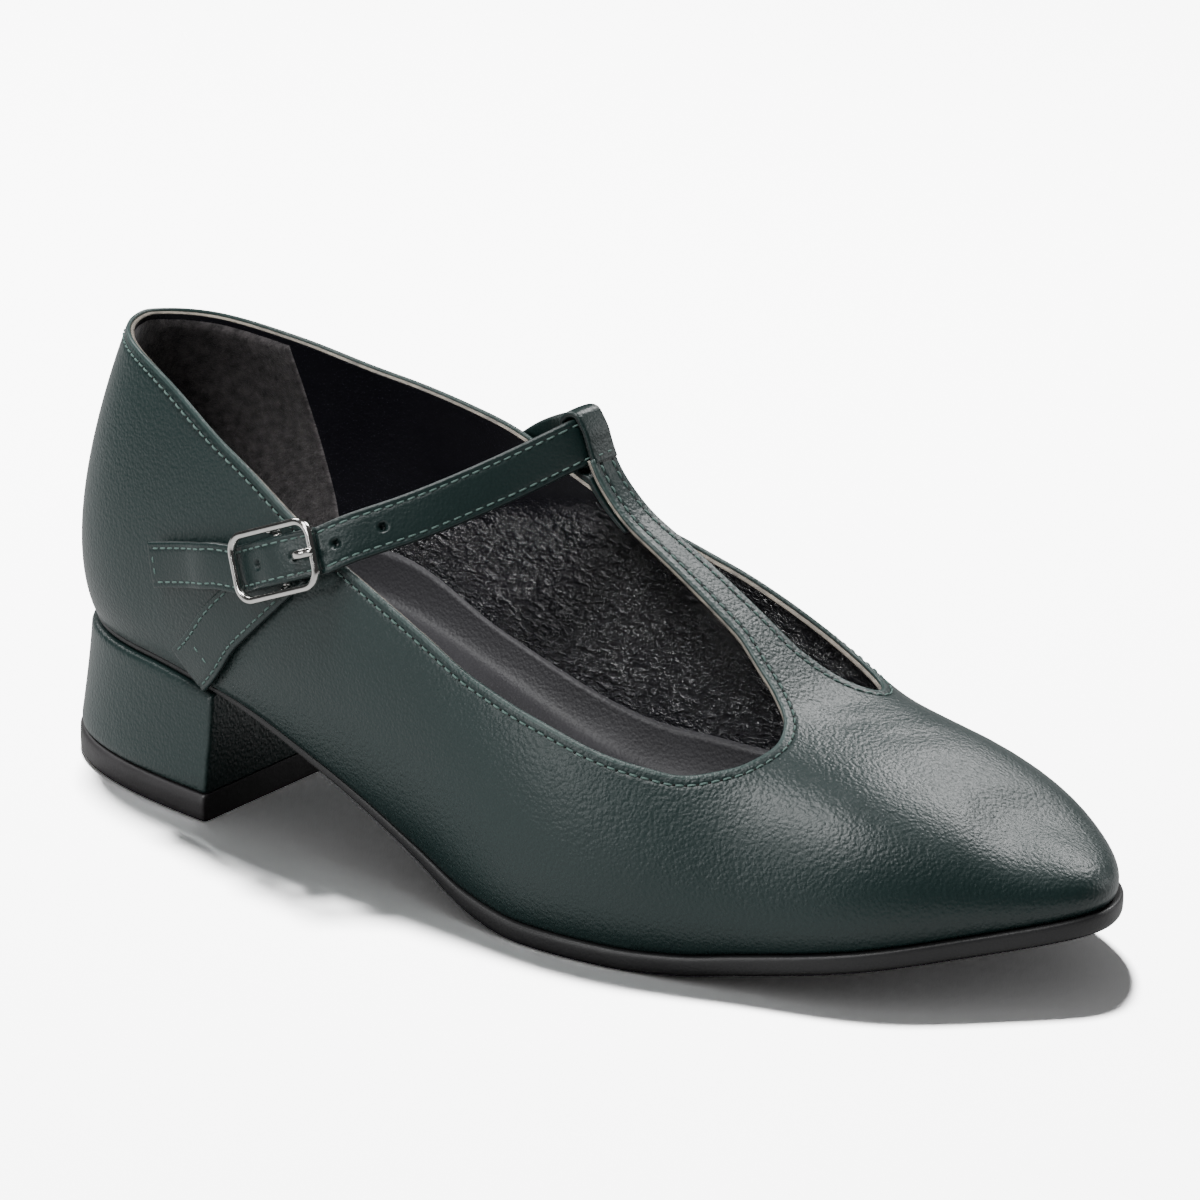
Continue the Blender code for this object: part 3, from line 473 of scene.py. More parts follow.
def even_rows(rows, count):
    """Rows of a path respaced evenly by the walk of their first three columns."""
    walked = walk_of(rows)
    return at_walk(np.linspace(0, walked[-1], count), walked, rows)


def blur(rows, reach, passes=2, closed=False):
    """Rows smoothed along their order; open lines keep their ends."""
    rows = np.asarray(rows, float).copy()
    for _ in range(passes):
        for _ in range(reach):
            if closed:
                rows = (np.roll(rows, 1, 0) + 2 * rows + np.roll(rows, -1, 0)) / 4
            else:
                rows[1:-1] = (rows[:-2] + 2 * rows[1:-1] + rows[2:]) / 4
    return rows


def by_side(table, station):
    """A table's outer or inner column at each station, whichever side the station is on."""
    at, outer_column, inner_column = np.array(table).T
    inner_side = station > RING / 2
    place = np.where(inner_side, RING - station, station)
    return np.where(inner_side, monotone(at, inner_column)(place),
                    monotone(at, outer_column)(place))


def even_places(line, spacing):
    """Places on the wall respaced evenly by the real distance between them."""
    spots = wall(line[:, 0], line[:, 1])
    walked = walk_of(spots)
    return at_walk(np.linspace(0, walked[-1], int(walked[-1] / spacing) + 2), walked, line)


def bar_way(station, side):
    """Way up the wall at which the bar's straight edge runs."""
    low, high = 0.80, 1.0
    x = spine_x(station)
    start = BAR_TURN_FROM * LENGTH
    end_x = start - BAR_REACH / math.hypot(1, spine_slope(start))
    narrow = (spine_x(BAR_ROOT) - x) / (spine_x(BAR_ROOT) - end_x)
    half = BAR_WIDTH * (1 - (1 - BAR_TAPER) * narrow) / 2
    for _ in range(24):
        middle = (low + high) / 2
        offset = abs(wall(side(station), middle)[1] - float(middle_of(x)))
        low, high = (middle, high) if offset > half else (low, middle)
    return (low + high) / 2


def bar_station(reach):
    """Station whose spine place lies reach up the turned bar."""
    start = BAR_TURN_FROM * LENGTH
    x = start - reach / math.hypot(1, spine_slope(start))
    stations = np.linspace(0, RING / 2, 1201)
    return float(np.interp(x, spine_x(stations), stations))


def opening_line():
    """Edge of the opening: bar's end, inner side, heel, outer side and back to the bar's end."""
    bar_stations = np.linspace(BAR_ROOT, bar_station(BAR_CUT), 12)
    sides = []
    for column, side in ((1, lambda s: s), (2, lambda s: RING - s)):
        table = np.vstack([np.array(COLLAR)[:, [0, column]], np.array(THROAT)[:, [0, column]]])
        bar = np.array([(s, bar_way(s, side)) for s in bar_stations])
        line = np.vstack([smooth_path(table, 60), bar])
        line[:, 0] = side(line[:, 0])
        sides.append(line)
    outer_line, inner_line = sides
    outer_line = outer_line + (RING, 0)
    line = even_places(np.vstack([inner_line[::-1], outer_line[1:]]), EDGE_DRAFT)
    return even_places(blur(line, 2), EDGE_STEP)


def slide(line, distance):
    """A line of places moved into the leather by a real distance, square to itself."""
    line = line.copy()
    steps = 4
    for _ in range(steps):
        out, run, rise = tangents(line[:, 0], line[:, 1])
        forward = unit(np.gradient(wall(line[:, 0], line[:, 1]), axis=0))
        into = np.cross(forward, out) * distance / steps
        aa, bb, ab = (run * run).sum(1), (rise * rise).sum(1), (run * rise).sum(1)
        ra, rb = (run * into).sum(1), (rise * into).sum(1)
        det = aa * bb - ab * ab
        line[:, 0] += (ra * bb - rb * ab) / det
        line[:, 1] += (rb * aa - ra * ab) / det
    return line


def flatten(places):
    """The wall laid out flat round the spine."""
    station, way = np.asarray(places, float).T
    low = feather(station)[:, :2]
    x = spine_x(station)
    top = np.stack([x, middle_of(x)], -1)
    out = unit(low - top)
    line = wall(station[:, None], np.linspace(0, 1, 17)[None, :])
    girth = np.linalg.norm(np.diff(line, axis=1), axis=2).sum(1)
    return top + out * (girth * (1 - way))[:, None]


def inside(points, outline):
    """Which points lie inside a closed outline."""
    a, b = outline, np.roll(outline, -1, axis=0)
    x, y = points[:, :1], points[:, 1:]
    crosses = (a[:, 1] > y) != (b[:, 1] > y)
    rise = np.where(b[:, 1] == a[:, 1], 1, b[:, 1] - a[:, 1])
    meets = a[:, 0] + (y - a[:, 1]) / rise * (b[:, 0] - a[:, 0])
    return (crosses & (x < meets)).sum(1) % 2 == 1


# The sole's plan gives the way from the last to the row frame
PLAN_POINTS = 96
plan_stations = np.arange(PLAN_POINTS) * RING / PLAN_POINTS
plan = feather(plan_stations)
plan = plan + feather_outward(plan_stations) * stand_of(plan[:, 0])[:, None]
low_corner = np.array(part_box("outsole")[0])
OFFSET = np.array([low_corner[0] - plan[:, 0].min(), low_corner[1] - plan[:, 1].min(), 0.0])


def piece(name, points, faces, finishes, replaced=(), zones=None):
    """A closed mesh in the row frame with its finishes, riding on the shoe."""
    mesh = bpy.data.meshes.new(name)
    mesh.from_pydata([tuple(p) for p in np.asarray(points) + OFFSET], [], faces)
    for finish in finishes:
        mesh.materials.append(finish)
    if zones is not None:
        mesh.polygons.foreach_set("material_index", np.asarray(zones, int))
    work = bmesh.new()
    work.from_mesh(mesh)
    bmesh.ops.recalc_face_normals(work, faces=work.faces)
    work.to_mesh(mesh)
    work.free()
    mesh.shade_smooth()
    item = bpy.data.objects.new(name, mesh)
    bpy.context.scene.collection.objects.link(item)
    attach(item, "root")
    if replaced:
        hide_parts(*replaced)
    return item


def grid_faces(rows, columns, first=0, closed=False):
    """Quads of a grid of points whose columns may close on themselves."""
    faces = []
    for r in range(rows - 1):
        for c in range(columns if closed else columns - 1):
            d = (c + 1) % columns
            a, b = first + r * columns, first + (r + 1) * columns
            faces.append((a + c, a + d, b + d, b + c))
    return faces


def middle_faces(base, count):
    """Faces that close a ring of points on itself along the shoe's centre line."""
    faces = []
    for i in range(count // 2):
        far = base + (count - i - 1) % count, base + (count - i) % count
        faces.append(tuple(dict.fromkeys((base + i, base + i + 1, *far))))
    return faces


def ramp(value, low, high):
    """0 below low, 1 above high, smooth between."""
    share = np.clip((value - low) / (high - low), 0, 1)
    return share * share * (3 - 2 * share)


# Finishes


def add_node(tree, kind, **settings):
    node = tree.nodes.new(kind)
    for name, value in settings.items():
        setattr(node, name, value)
    return node


def join(tree, source, target):
    tree.links.new(source, target)


def effect(name, inputs, outputs):
    """A shader node group with named numbers in and named results out."""
    tree = bpy.data.node_groups.new(name, "ShaderNodeTree")
    for label, value in inputs:
        socket = tree.interface.new_socket(label, in_out="INPUT", socket_type="NodeSocketFloat")
        socket.default_value = value
    for label in outputs:
        tree.interface.new_socket(label, in_out="OUTPUT", socket_type="NodeSocketFloat")
    return tree, add_node(tree, "NodeGroupInput"), add_node(tree, "NodeGroupOutput")


def math_node(tree, operation, first, second=0.0, clamp=False):
    node = add_node(tree, "ShaderNodeMath", operation=operation, use_clamp=clamp)
    for socket, value in zip(node.inputs, (first, second)):
        if isinstance(value, (int, float)):
            socket.default_value = value
        else:
            join(tree, value, socket)
    return node.outputs[0]


def shoe_place(tree):
    """Place on the object in millimetres."""
    where = add_node(tree, "ShaderNodeTexCoord")
    scale = add_node(tree, "ShaderNodeVectorMath", operation="SCALE")
    scale.inputs["Scale"].default_value = 1000
    join(tree, where.outputs["Object"], scale.inputs[0])
    return scale.outputs[0]


def by_size(tree, place, size):
    """A place divided by the size of one mark."""
    over = math_node(tree, "DIVIDE", 1.0, size)
    scale = add_node(tree, "ShaderNodeVectorMath", operation="SCALE")
    join(tree, place, scale.inputs[0])
    join(tree, over, scale.inputs["Scale"])
    return scale.outputs[0]


def noise_of(tree, place, detail=2.0, rough=0.5):
    node = add_node(tree, "ShaderNodeTexNoise")
    node.inputs["Scale"].default_value = 1.0
    node.inputs["Detail"].default_value = detail
    node.inputs["Roughness"].default_value = rough
    join(tree, place, node.inputs["Vector"])
    return node


def pebble_effect():
    """Fine leather grain: rounded pebbles of one size with pores between them."""
    tree, given, result = effect("leather_grain", (("Pebble mm", 0.8), ("Pore", 0.4)),
                                 ("Height", "Pores"))
    place = shoe_place(tree)
    size = given.outputs["Pebble mm"]
    bend = noise_of(tree, by_size(tree, place, math_node(tree, "MULTIPLY", size, 1.7)), 2.0)
    push = add_node(tree, "ShaderNodeVectorMath", operation="MULTIPLY_ADD")
    push.inputs[1].default_value = (0.9, 0.9, 0.9)
    join(tree, bend.outputs["Color"], push.inputs[0])
    join(tree, by_size(tree, place, size), push.inputs[2])
    cells = add_node(tree, "ShaderNodeTexVoronoi", feature="SMOOTH_F1")
    cells.inputs["Scale"].default_value = 1.0
    cells.inputs["Smoothness"].default_value = 0.55
    join(tree, push.outputs[0], cells.inputs["Vector"])
    fine = noise_of(tree, by_size(tree, place, math_node(tree, "MULTIPLY", size, 0.45)), 3.0)
    dome = math_node(tree, "SUBTRACT", 0.85, cells.outputs["Distance"])
    speck = math_node(tree, "MULTIPLY", fine.outputs["Fac"], given.outputs["Pore"])
    join(tree, math_node(tree, "ADD", dome, speck), result.inputs["Height"])
    pores = math_node(tree, "MULTIPLY", cells.outputs["Distance"], fine.outputs["Fac"])
    join(tree, pores, result.inputs["Pores"])
    return tree


def drift_effect():
    """Slow change over the surface, for colour and gloss."""
    tree, given, result = effect("slow_drift", (("Patch mm", 30.0), ("Contrast", 1.5)), ("Amount",))
    noise = noise_of(tree, by_size(tree, shoe_place(tree), given.outputs["Patch mm"]), 3.0)
    centred = math_node(tree, "SUBTRACT", noise.outputs["Fac"], 0.5)
    spread = math_node(tree, "MULTIPLY", centred, given.outputs["Contrast"])
    join(tree, math_node(tree, "ADD", spread, 0.5, True), result.inputs["Amount"])
    return tree


SMOOTH_ABOVE = 72.0      # mm above the floor, at the middle of the shoe, where wrinkles have gone
SMOOTH_SLOPE = -0.30     # how that line changes along the shoe
SMOOTH_OVER = 9.0        # mm over which they run out


def crinkle_effect():
    """Fine sharp wrinkles of thin lining leather drawn over the last."""
    tree, given, result = effect("crinkle", (("Wrinkle mm", 2.2), ("Stretch", 0.5)), ("Height",))
    stretch = add_node(tree, "ShaderNodeMapping")
    stretch.inputs["Rotation"].default_value = (0.2, 0.5, 0.6)
    stretch.inputs["Scale"].default_value = (0.55, 1.0, 1.25)
    join(tree, shoe_place(tree), stretch.inputs["Vector"])
    place = by_size(tree, stretch.outputs[0], given.outputs["Wrinkle mm"])
    big = noise_of(tree, place, 4.0, 0.62)
    # smooth at the back and towards the top edge, drawn into wrinkles low and in front
    spot = add_node(tree, "ShaderNodeSeparateXYZ")
    join(tree, shoe_place(tree), spot.inputs[0])
    drop = math_node(tree, "MULTIPLY", spot.outputs["X"], SMOOTH_SLOPE)
    line = math_node(tree, "ADD", spot.outputs["Z"], drop)
    reach = add_node(tree, "ShaderNodeMapRange", interpolation_type="SMOOTHSTEP")
    join(tree, line, reach.inputs[0])
    reach.inputs[1].default_value = SMOOTH_ABOVE
    reach.inputs[2].default_value = SMOOTH_ABOVE - SMOOTH_OVER
    ridge = math_node(tree, "ABSOLUTE", math_node(tree, "SUBTRACT", big.outputs["Fac"], 0.5))
    sharp = math_node(tree, "POWER", math_node(tree, "MULTIPLY", ridge, 3.0, True), 0.6)
    soft = noise_of(tree, by_size(tree, shoe_place(tree), 7.0), 2.0)
    mixed = math_node(tree, "MULTIPLY", soft.outputs["Fac"], given.outputs["Stretch"])
    both = math_node(tree, "ADD", sharp, mixed)
    join(tree, math_node(tree, "MULTIPLY", both, reach.outputs[0]), result.inputs["Height"])
    return tree


PEBBLE = pebble_effect()
DRIFT = drift_effect()
CRINKLE = crinkle_effect()


def use(tree, group, **values):
    node = add_node(tree, "ShaderNodeGroup", node_tree=group)
    for socket in node.inputs:
        key = socket.name.split()[0].lower()
        if key in values:
            socket.default_value = values[key]
    return node


def blend_colour(tree, amount, dark, light):
    node = add_node(tree, "ShaderNodeMix", data_type="RGBA")
    join(tree, amount, node.inputs[0])
    node.inputs[6].default_value = (*dark, 1)
    node.inputs[7].default_value = (*light, 1)
    return node.outputs[2]


def between(tree, amount, low, high):
    node = add_node(tree, "ShaderNodeMapRange")
    join(tree, amount, node.inputs[0])
    node.inputs[3].default_value = low
    node.inputs[4].default_value = high
    return node.outputs[0]


def finish(name, dark, light, gloss, patch=30.0, metallic=0.0, sheen=0.0, specular=0.5,
           contrast=1.5):
    """A shader whose colour and roughness drift slowly; returns material, tree and shader."""
    material = bpy.data.materials.new(name)
    material.use_nodes = True
    tree = material.node_tree
    shader = tree.nodes["Principled BSDF"]
    drift = use(tree, DRIFT, patch=patch, contrast=contrast).outputs["Amount"]
    join(tree, blend_colour(tree, drift, dark, light), shader.inputs["Base Color"])
    join(tree, between(tree, drift, *gloss), shader.inputs["Roughness"])
    shader.inputs["Metallic"].default_value = metallic
    shader.inputs["Sheen Weight"].default_value = sheen
    shader.inputs["Specular IOR Level"].default_value = specular
    return material, tree, shader


def raise_by(tree, shader, heights):
    """Bump from several heights, each with its depth in metres."""
    before = None
    for height, depth in heights:
        bump = add_node(tree, "ShaderNodeBump")
        bump.inputs["Strength"].default_value = 1.0
        bump.inputs["Distance"].default_value = depth
        join(tree, height, bump.inputs["Height"])
        if before is not None:
            join(tree, before, bump.inputs["Normal"])
        before = bump.outputs["Normal"]
    join(tree, before, shader.inputs["Normal"])


def grained_leather(name, dark, light, gloss, pebble=0.75, depth=0.00010, **more):
    material, tree, shader = finish(name, dark, light, gloss, **more)
    grain = use(tree, PEBBLE, pebble=pebble, pore=0.5)
    slow = noise_of(tree, by_size(tree, shoe_place(tree), 5.0), 2.0)
    raise_by(tree, shader, ((grain.outputs["Height"], depth), (slow.outputs["Fac"], 0.00007)))
    return material


def crinkled_leather(name, dark, light, gloss, wrinkle=2.2, depth=0.0003, **more):
    material, tree, shader = finish(name, dark, light, gloss, **more)
    folds = use(tree, CRINKLE, wrinkle=wrinkle, stretch=0.6)
    grain = use(tree, PEBBLE, pebble=0.6, pore=0.4)
    raise_by(tree, shader, ((folds.outputs["Height"], depth), (grain.outputs["Height"], 0.00003)))
    return material


def napped(name, dark, light, gloss, hair=0.35, depth=0.00025, **more):
    """Suede, raw leather or thread: short hairs and specks."""
    material, tree, shader = finish(name, dark, light, gloss, **more)
    hairs = noise_of(tree, by_size(tree, shoe_place(tree), hair), 4.0, 0.65)
    raise_by(tree, shader, ((hairs.outputs["Fac"], depth),))
    return material


def polished_metal(name, dark, light, gloss):
    material, tree, shader = finish(name, dark, light, gloss, patch=2.0, metallic=1.0)
    scratch = add_node(tree, "ShaderNodeMapping")
    scratch.inputs["Scale"].default_value = (1.0, 6.0, 6.0)
    join(tree, shoe_place(tree), scratch.inputs["Vector"])
    lines = noise_of(tree, scratch.outputs[0], 3.0, 0.6)
    raise_by(tree, shader, ((lines.outputs["Fac"], 0.000006),))
    return material


green = grained_leather("green_leather", (0.0055, 0.0180, 0.0172), (0.0080, 0.0235, 0.0222),
                        (0.38, 0.45))
strap_green = grained_leather("strap_leather", (0.0050, 0.0168, 0.0160), (0.0075, 0.0215, 0.0203),
                              (0.36, 0.44), pebble=0.6, depth=0.00006)
# Lighter green for the folded top edge: a painted highlight, the light that catches the rounded
# fold laid into its colour.
folded_edge_painted_highlight = grained_leather("folded_edge_painted_highlight", (0.022, 0.044, 0.041), (0.045, 0.075, 0.070),
                              (0.36, 0.44), patch=6.0, contrast=2.2)
leather_back = napped("leather_back", (0.035, 0.036, 0.034), (0.06, 0.06, 0.056), (0.85, 0.95))
raw_edge = napped("raw_lining_edge", (0.030, 0.026, 0.022), (0.10, 0.087, 0.070), (0.8, 0.95),
                  hair=0.5, patch=3.0, contrast=2.5)
edge_paint = napped("edge_paint", (0.006, 0.010, 0.010), (0.012, 0.018, 0.018), (0.45, 0.6))
lining = crinkled_leather("lining_leather", (0.0016, 0.0016, 0.0022), (0.003, 0.003, 0.0038),
                          (0.13, 0.2), wrinkle=2.4, depth=0.0013)
suede = napped("heel_suede", (0.030, 0.027, 0.028), (0.115, 0.104, 0.106), (0.9, 1.0),
               hair=0.7, depth=0.0007, patch=2.2, contrast=2.6, sheen=0.25)
sock = grained_leather("sock_leather", (0.040, 0.039, 0.043), (0.055, 0.054, 0.060),
                       (0.5, 0.6), pebble=0.7)
rubber = grained_leather("sole_rubber", (0.010, 0.010, 0.011), (0.016, 0.016, 0.017),
                         (0.42, 0.55), pebble=0.4, depth=0.00003, patch=14.0)
tip_rubber = grained_leather("tip_rubber", (0.017, 0.016, 0.017), (0.028, 0.026, 0.028),
                             (0.5, 0.65), pebble=0.5, depth=0.00004, patch=10.0)
thread_green = napped("thread", (0.075, 0.135, 0.120), (0.13, 0.20, 0.18), (0.55, 0.7),
                      hair=0.25, depth=0.0001, patch=4.0)
# Near-black lenses at the needle holes: painted shade standing in for the dark inside of each hole.
needle_hole_painted_shade = napped("painted_shade_needle_hole", (0.002, 0.003, 0.003), (0.004, 0.006, 0.006), (0.8, 0.95))
silver = polished_metal("buckle_metal", (0.58, 0.57, 0.55), (0.72, 0.71, 0.69), (0.10, 0.2))


# Upper and lining

OFFSETS = (0.0, 0.0004, 0.0008, 0.00115, 0.0014, 0.0016, 0.0018, 0.00205, 0.0025, 0.0031)
CHANNEL = STITCH_IN - FOLD      # how far the stitches lie in from the start of the fold


def spread_out(spots, taken, gap):
    """Which spots keep at least a gap from what is taken and from each other."""
    cells = {}

    def cell(spot):
        return int(spot[0] // gap), int(spot[1] // gap)

    for spot in taken:
        cells.setdefault(cell(spot), []).append(tuple(spot))
    kept = []
    for number, spot in enumerate(spots):
        i, j = cell(spot)
        near = [q for a in (-1, 0, 1) for b in (-1, 0, 1) for q in cells.get((i + a, j + b), ())]
        if all((spot[0] - q[0])**2 + (spot[1] - q[1])**2 > gap * gap for q in near):
            kept.append(number)
            cells.setdefault((i, j), []).append(tuple(spot))
    return kept


def upper_net():
    """Places and faces of the upper: rim, rows along the opening's edge, bar end, then the rest."""
    edge = slide(opening_line(), FOLD)
    rows = [slide(edge, offset) for offset in OFFSETS]
    count = len(edge)
    rim_count = RIM_POINTS
    rim = np.stack([np.arange(rim_count) * RING / rim_count, np.zeros(rim_count)], 1)
    last = rows[-1]
    flat_ends = flatten(np.array([last[-1], last[0]]))
    reach = np.linalg.norm(flat_ends[1] - flat_ends[0])
    cross = max(1, int(reach / 0.0009))
    near_bar = np.array([last[-1] - (RING, 0), (last[0][0], last[0][1])])
    share = (np.arange(1, cross) / cross)[:, None]
    # across the bar's end the way runs up to the spine and down the other side
    side_way = near_bar[0][1] + (1 - near_bar[0][1]) * np.minimum(2 * share, 1)
    other_way = near_bar[1][1] + (1 - near_bar[1][1]) * np.minimum(2 - 2 * share, 1)
    ends = np.where(share <= 0.5, np.hstack([0 * share + near_bar[0][0], side_way]),
                    np.hstack([0 * share + near_bar[1][0], other_way]))
    places = np.vstack([rim] + rows + [ends])
    flat = flatten(places)
    band = rim_count + (len(rows) - 1) * count
    outline = np.vstack([flat[band:band + count], flat[len(rim) + len(rows) * count:]])
    levels, around = 56, 360
    spots = np.array([(s * RING / around + (k % 2) * RING / around / 2, k / levels)
                      for k in range(1, levels + 1) for s in range(around)])
    spots[:, 1] = np.minimum(spots[:, 1], 1.0)
    spread = flatten(spots)
    free = np.flatnonzero(~inside(spread, outline))
    taken = np.vstack([flat[:rim_count], outline])
    kept = free[spread_out(spread[free], taken, 0.8 * MESH)]
    first_free = len(places)
    places = np.vstack([places, spots[kept]])
    index = np.r_[np.arange(rim_count), np.arange(band, band + count),
                  np.arange(first_free - len(ends), first_free),
                  np.arange(first_free, len(places))]
    net_flat = flatten(places[index])
    loop_count = count + len(ends)
    edges = [(i, (i + 1) % rim_count) for i in range(rim_count)]
    edges += [(rim_count + i, rim_count + (i + 1) % loop_count) for i in range(loop_count)]
    made = geometry.delaunay_2d_cdt([tuple(p) for p in net_flat], edges, [], 0, 1e-9)
    source = [names[0] for names in made[3]]
    triangles = np.array([[source[i] for i in face] for face in made[2]])
    centres = net_flat[triangles].mean(1)
    keep = inside(centres, net_flat[:rim_count])
    keep &= ~inside(centres, net_flat[rim_count:rim_count + loop_count])
    faces = [tuple(int(index[i]) for i in t) for t in triangles[keep]]
    for j in range(len(rows) - 1):
        a, b = rim_count + j * count, rim_count + (j + 1) * count
        for i in range(count - 1):
            faces.append((a + i, a + i + 1, b + i + 1, b + i))
    return {"places": places, "faces": faces, "rim": rim_count, "edge": count,
            "rows": len(rows), "ends": len(ends)}


net = upper_net()


def crease_lift(points, places):
    """How far the listed creases raise or sink each point of the upper's face."""
    lift = np.zeros(len(points))
    for station, wide, depth in PLEATS:
        middle = feather(np.array(station))
        run = feather(np.array(station + 0.05)) - feather(np.array(station - 0.05))
        run /= np.linalg.norm(run)
        off = (points - middle) @ run * 1000 / wide
        fade = 1 - ramp(places[:, 1], PLEAT_FOOT, PLEAT_HEIGHT)
        near = np.linalg.norm(points - middle, axis=1) < PLEAT_REACH
        lift += depth / 1000 * np.exp(-off**2) * fade * near
    for x, y, turn, long, wide, depth in CREASES:
        angle = math.radians(turn)
        away = points[:, 0] - x * LENGTH
        over = points[:, 1] - float(middle_of(x * LENGTH)) - y * BALL_WIDTH
        u = (away * math.cos(angle) + over * math.sin(angle)) * 1000 / long
        v = (over * math.cos(angle) - away * math.sin(angle)) * 1000 / wide
        lift += depth / 1000 * np.exp(-u**2 - v**2)
    return lift


def shell(name, top_depth, gauge, profile, finishes, replaced, margin, channel, creased):
    """A skin of the upper: outer face, edge round the opening, inner face and foot."""
    places, rim, edge, rows = net["places"], net["rim"], net["edge"], net["rows"]
    out = tangents(places[:, 0], places[:, 1])[0]
    face = wall(places[:, 0], places[:, 1])
    lift = np.full(len(places), -top_depth)
    if creased:
        lift += crease_lift(face, places)
    for j, offset in enumerate(OFFSETS):
        span = slice(rim + j * edge, rim + (j + 1) * edge)
        lift[span] += channel * math.exp(-((offset - CHANNEL) / 0.0003)**2)
    top = face + out * lift[:, None]
    bottom = top - gauge * out
    stations = places[:rim, 0]
    foot, inward = feather(stations), -feather_outward(stations)
    top[:rim] = foot + top_depth * (inward + (0, 0, 1))
    bottom[:rim] = foot + (top_depth + gauge) * (inward + (0, 0, 1))
    count = len(places)
    faces = [tuple(f) for f in net["faces"]]
    zones = [0] * len(faces)
    faces += [tuple(count + i for i in reversed(f)) for f in net["faces"]]
    zones += [1 if margin else 0] * len(net["faces"])
    # Zone 2 on the outer leather is the painted highlight of the folded edge: its first row along
    # the opening here, and the rounded edge below.
    if margin:
        first_row = len(net["faces"]) - (rows - 1) * (edge - 1)
        zones[first_row:first_row + edge - 1] = [2] * (edge - 1)
    points = [top, bottom]
    # edge round the opening
    span = slice(rim, rim + edge)
    forward = unit(np.gradient(face[span], axis=0))
    away = -unit(np.cross(forward, out[span]))
    base = 2 * count
    for over, deep in profile:
        points.append(top[span] + away * over - out[span] * deep)
    lines = [rim] + [base + k * edge for k in range(len(profile))] + [count + rim]
    # On the outer leather these edge faces take zone 2, the folded edge's painted highlight; on the
    # lining they take the raw edge.
    for upper_line, lower_line in zip(lines[:-1], lines[1:]):
        for i in range(edge - 1):
            faces.append((upper_line + i, upper_line + i + 1, lower_line + i + 1, lower_line + i))
            zones.append(2 if margin else 1)
    # cut end of the bar
    first_end = rim + rows * edge
    top_side = [rim + j * edge + edge - 1 for j in range(rows)]
    top_side += [first_end + k for k in range(net["ends"])]
    top_side += [rim + j * edge for j in reversed(range(rows))]
    low_side = [count + i for i in reversed(top_side)]
    left = lines[1:-1]
    right = [line + edge - 1 for line in reversed(lines[1:-1])]
    faces.append(tuple(top_side + left + low_side + right))
    zones.append(0)
    # foot
    rings = [0]
    base = 2 * count + len(profile) * edge
    if margin:
        for inset, high in ((0.0006, 0.0), (MARGIN, 0.0), (MARGIN, gauge)):
            ring = foot + inset * inward
            ring[:, 2] = sole_line(ring[:, 0]) + high
            points.append(ring)
            rings.append(base)
            base += rim
    rings.append(count)
    for a, b in zip(rings[:-1], rings[1:]):
        for i in range(rim):
            j = (i + 1) % rim
            faces.append((a + i, a + j, b + j, b + i))
            zones.append(1 if margin else 0)
    return piece(name, np.vstack(points), faces, finishes, replaced, zones)


shell("upper_leather", 0.0, LEATHER,
      ((0.00020, 0.00003), (0.00037, 0.00013), (0.00048, 0.00032), (0.00050, 0.00052),
       (0.00042, 0.00072), (0.00022, 0.00087)),
      (green, leather_back, folded_edge_painted_highlight), ("upper",), True, -0.00016, True)
lining_skin = shell("upper_lining", LINING_TOP, WALL - LINING_TOP,
                    ((0.00008, 0.00005), (0.00016, 0.00025), (0.00014, 0.00055)),
                    (lining, raw_edge), (), False, 0.0, False)


# Inside of the shoe

# Way up the wall where the sock's edge lies, at each station
SOCK_EDGE = (
    # station, outer, inner
    (0.0, 0.060, 0.060),
    (2.0, 0.060, 0.130),
    (3.0, 0.060, 0.162),
    (4.0, 0.060, 0.128),
    (5.0, 0.060, 0.143),
    (6.0, 0.060, 0.190),
    (7.0, 0.065, 0.200),
    (8.0, 0.070, 0.150),
    (10.0, 0.080, 0.090),
    (12.0, 0.080, 0.080),
)


def build_sock():
    """Sock on its board, cupped up the inner side of the arch."""
    count, levels, spread = 240, 9, 16
    stations = np.arange(count) * RING / count
    ways = by_side(SOCK_EDGE, stations)
    depth = WALL + 0.00012
    rings = []

    def top_of(x):
        return sole_line(x) + WALL + GAP + INSOLE_GAUGE

    for share in np.linspace(1, 0, levels):
        spot, out = on_wall(stations, 0.02 + (ways - 0.02) * share,
                            np.full(count, -depth - 0.0004 * share))
        spot[:, 2] = np.maximum(spot[:, 2], top_of(spot[:, 0]))
        rings.append(spot)
    low = rings[-1]
    x_mid = LENGTH * 0.5
    middle_x = x_mid + (low[:, 0] - x_mid) * 0.84
    partner = low[(-np.arange(count)) % count]
    centre_y = (low[:, 1] + partner[:, 1]) / 2
    centre = np.stack([middle_x, centre_y, top_of(middle_x)], -1)
    for share in np.linspace(0, 1, spread)[1:]:
        ring = low * (1 - share) + centre * share
        ring[:, 2] = top_of(ring[:, 0])
        rings.append(ring)
    rings = np.array(rings)
    for column in range(count):
        rings[:, column] = blur(rings[:, column], 3, 1)
    top = np.vstack(rings)
    under = top - (0, 0, SOCK_GAUGE)
    first = on_wall(stations, ways, np.full(count, -depth))[0]
    under[:count] = first - (0, 0, SOCK_GAUGE / 2)
    total = len(top)
    faces = grid_faces(len(rings), count, 0, True)
    faces += [tuple(total + i for i in reversed(f)) for f in faces]
    for i in range(count):
        j = (i + 1) % count
        faces.append((i, j, total + j, total + i))
    base = (len(rings) - 1) * count
    faces += middle_faces(base, count) + middle_faces(total + base, count)
    return piece("insole_sock", np.vstack([top, under]), faces, (sock,),
                 ("insole",))


build_sock()

# Front edge of the heel's suede lining
SUEDE_FRONT = (
    # share of the way from the sock to the top edge, station
    (0.00, 2.46),
    (0.35, 2.38),
    (0.60, 2.24),
    (0.80, 2.10),
    (1.00, 1.95),
)


def collar_way(station):
    """Way up the wall of the topline, on either side."""
    return by_side(COLLAR, np.mod(station, RING))


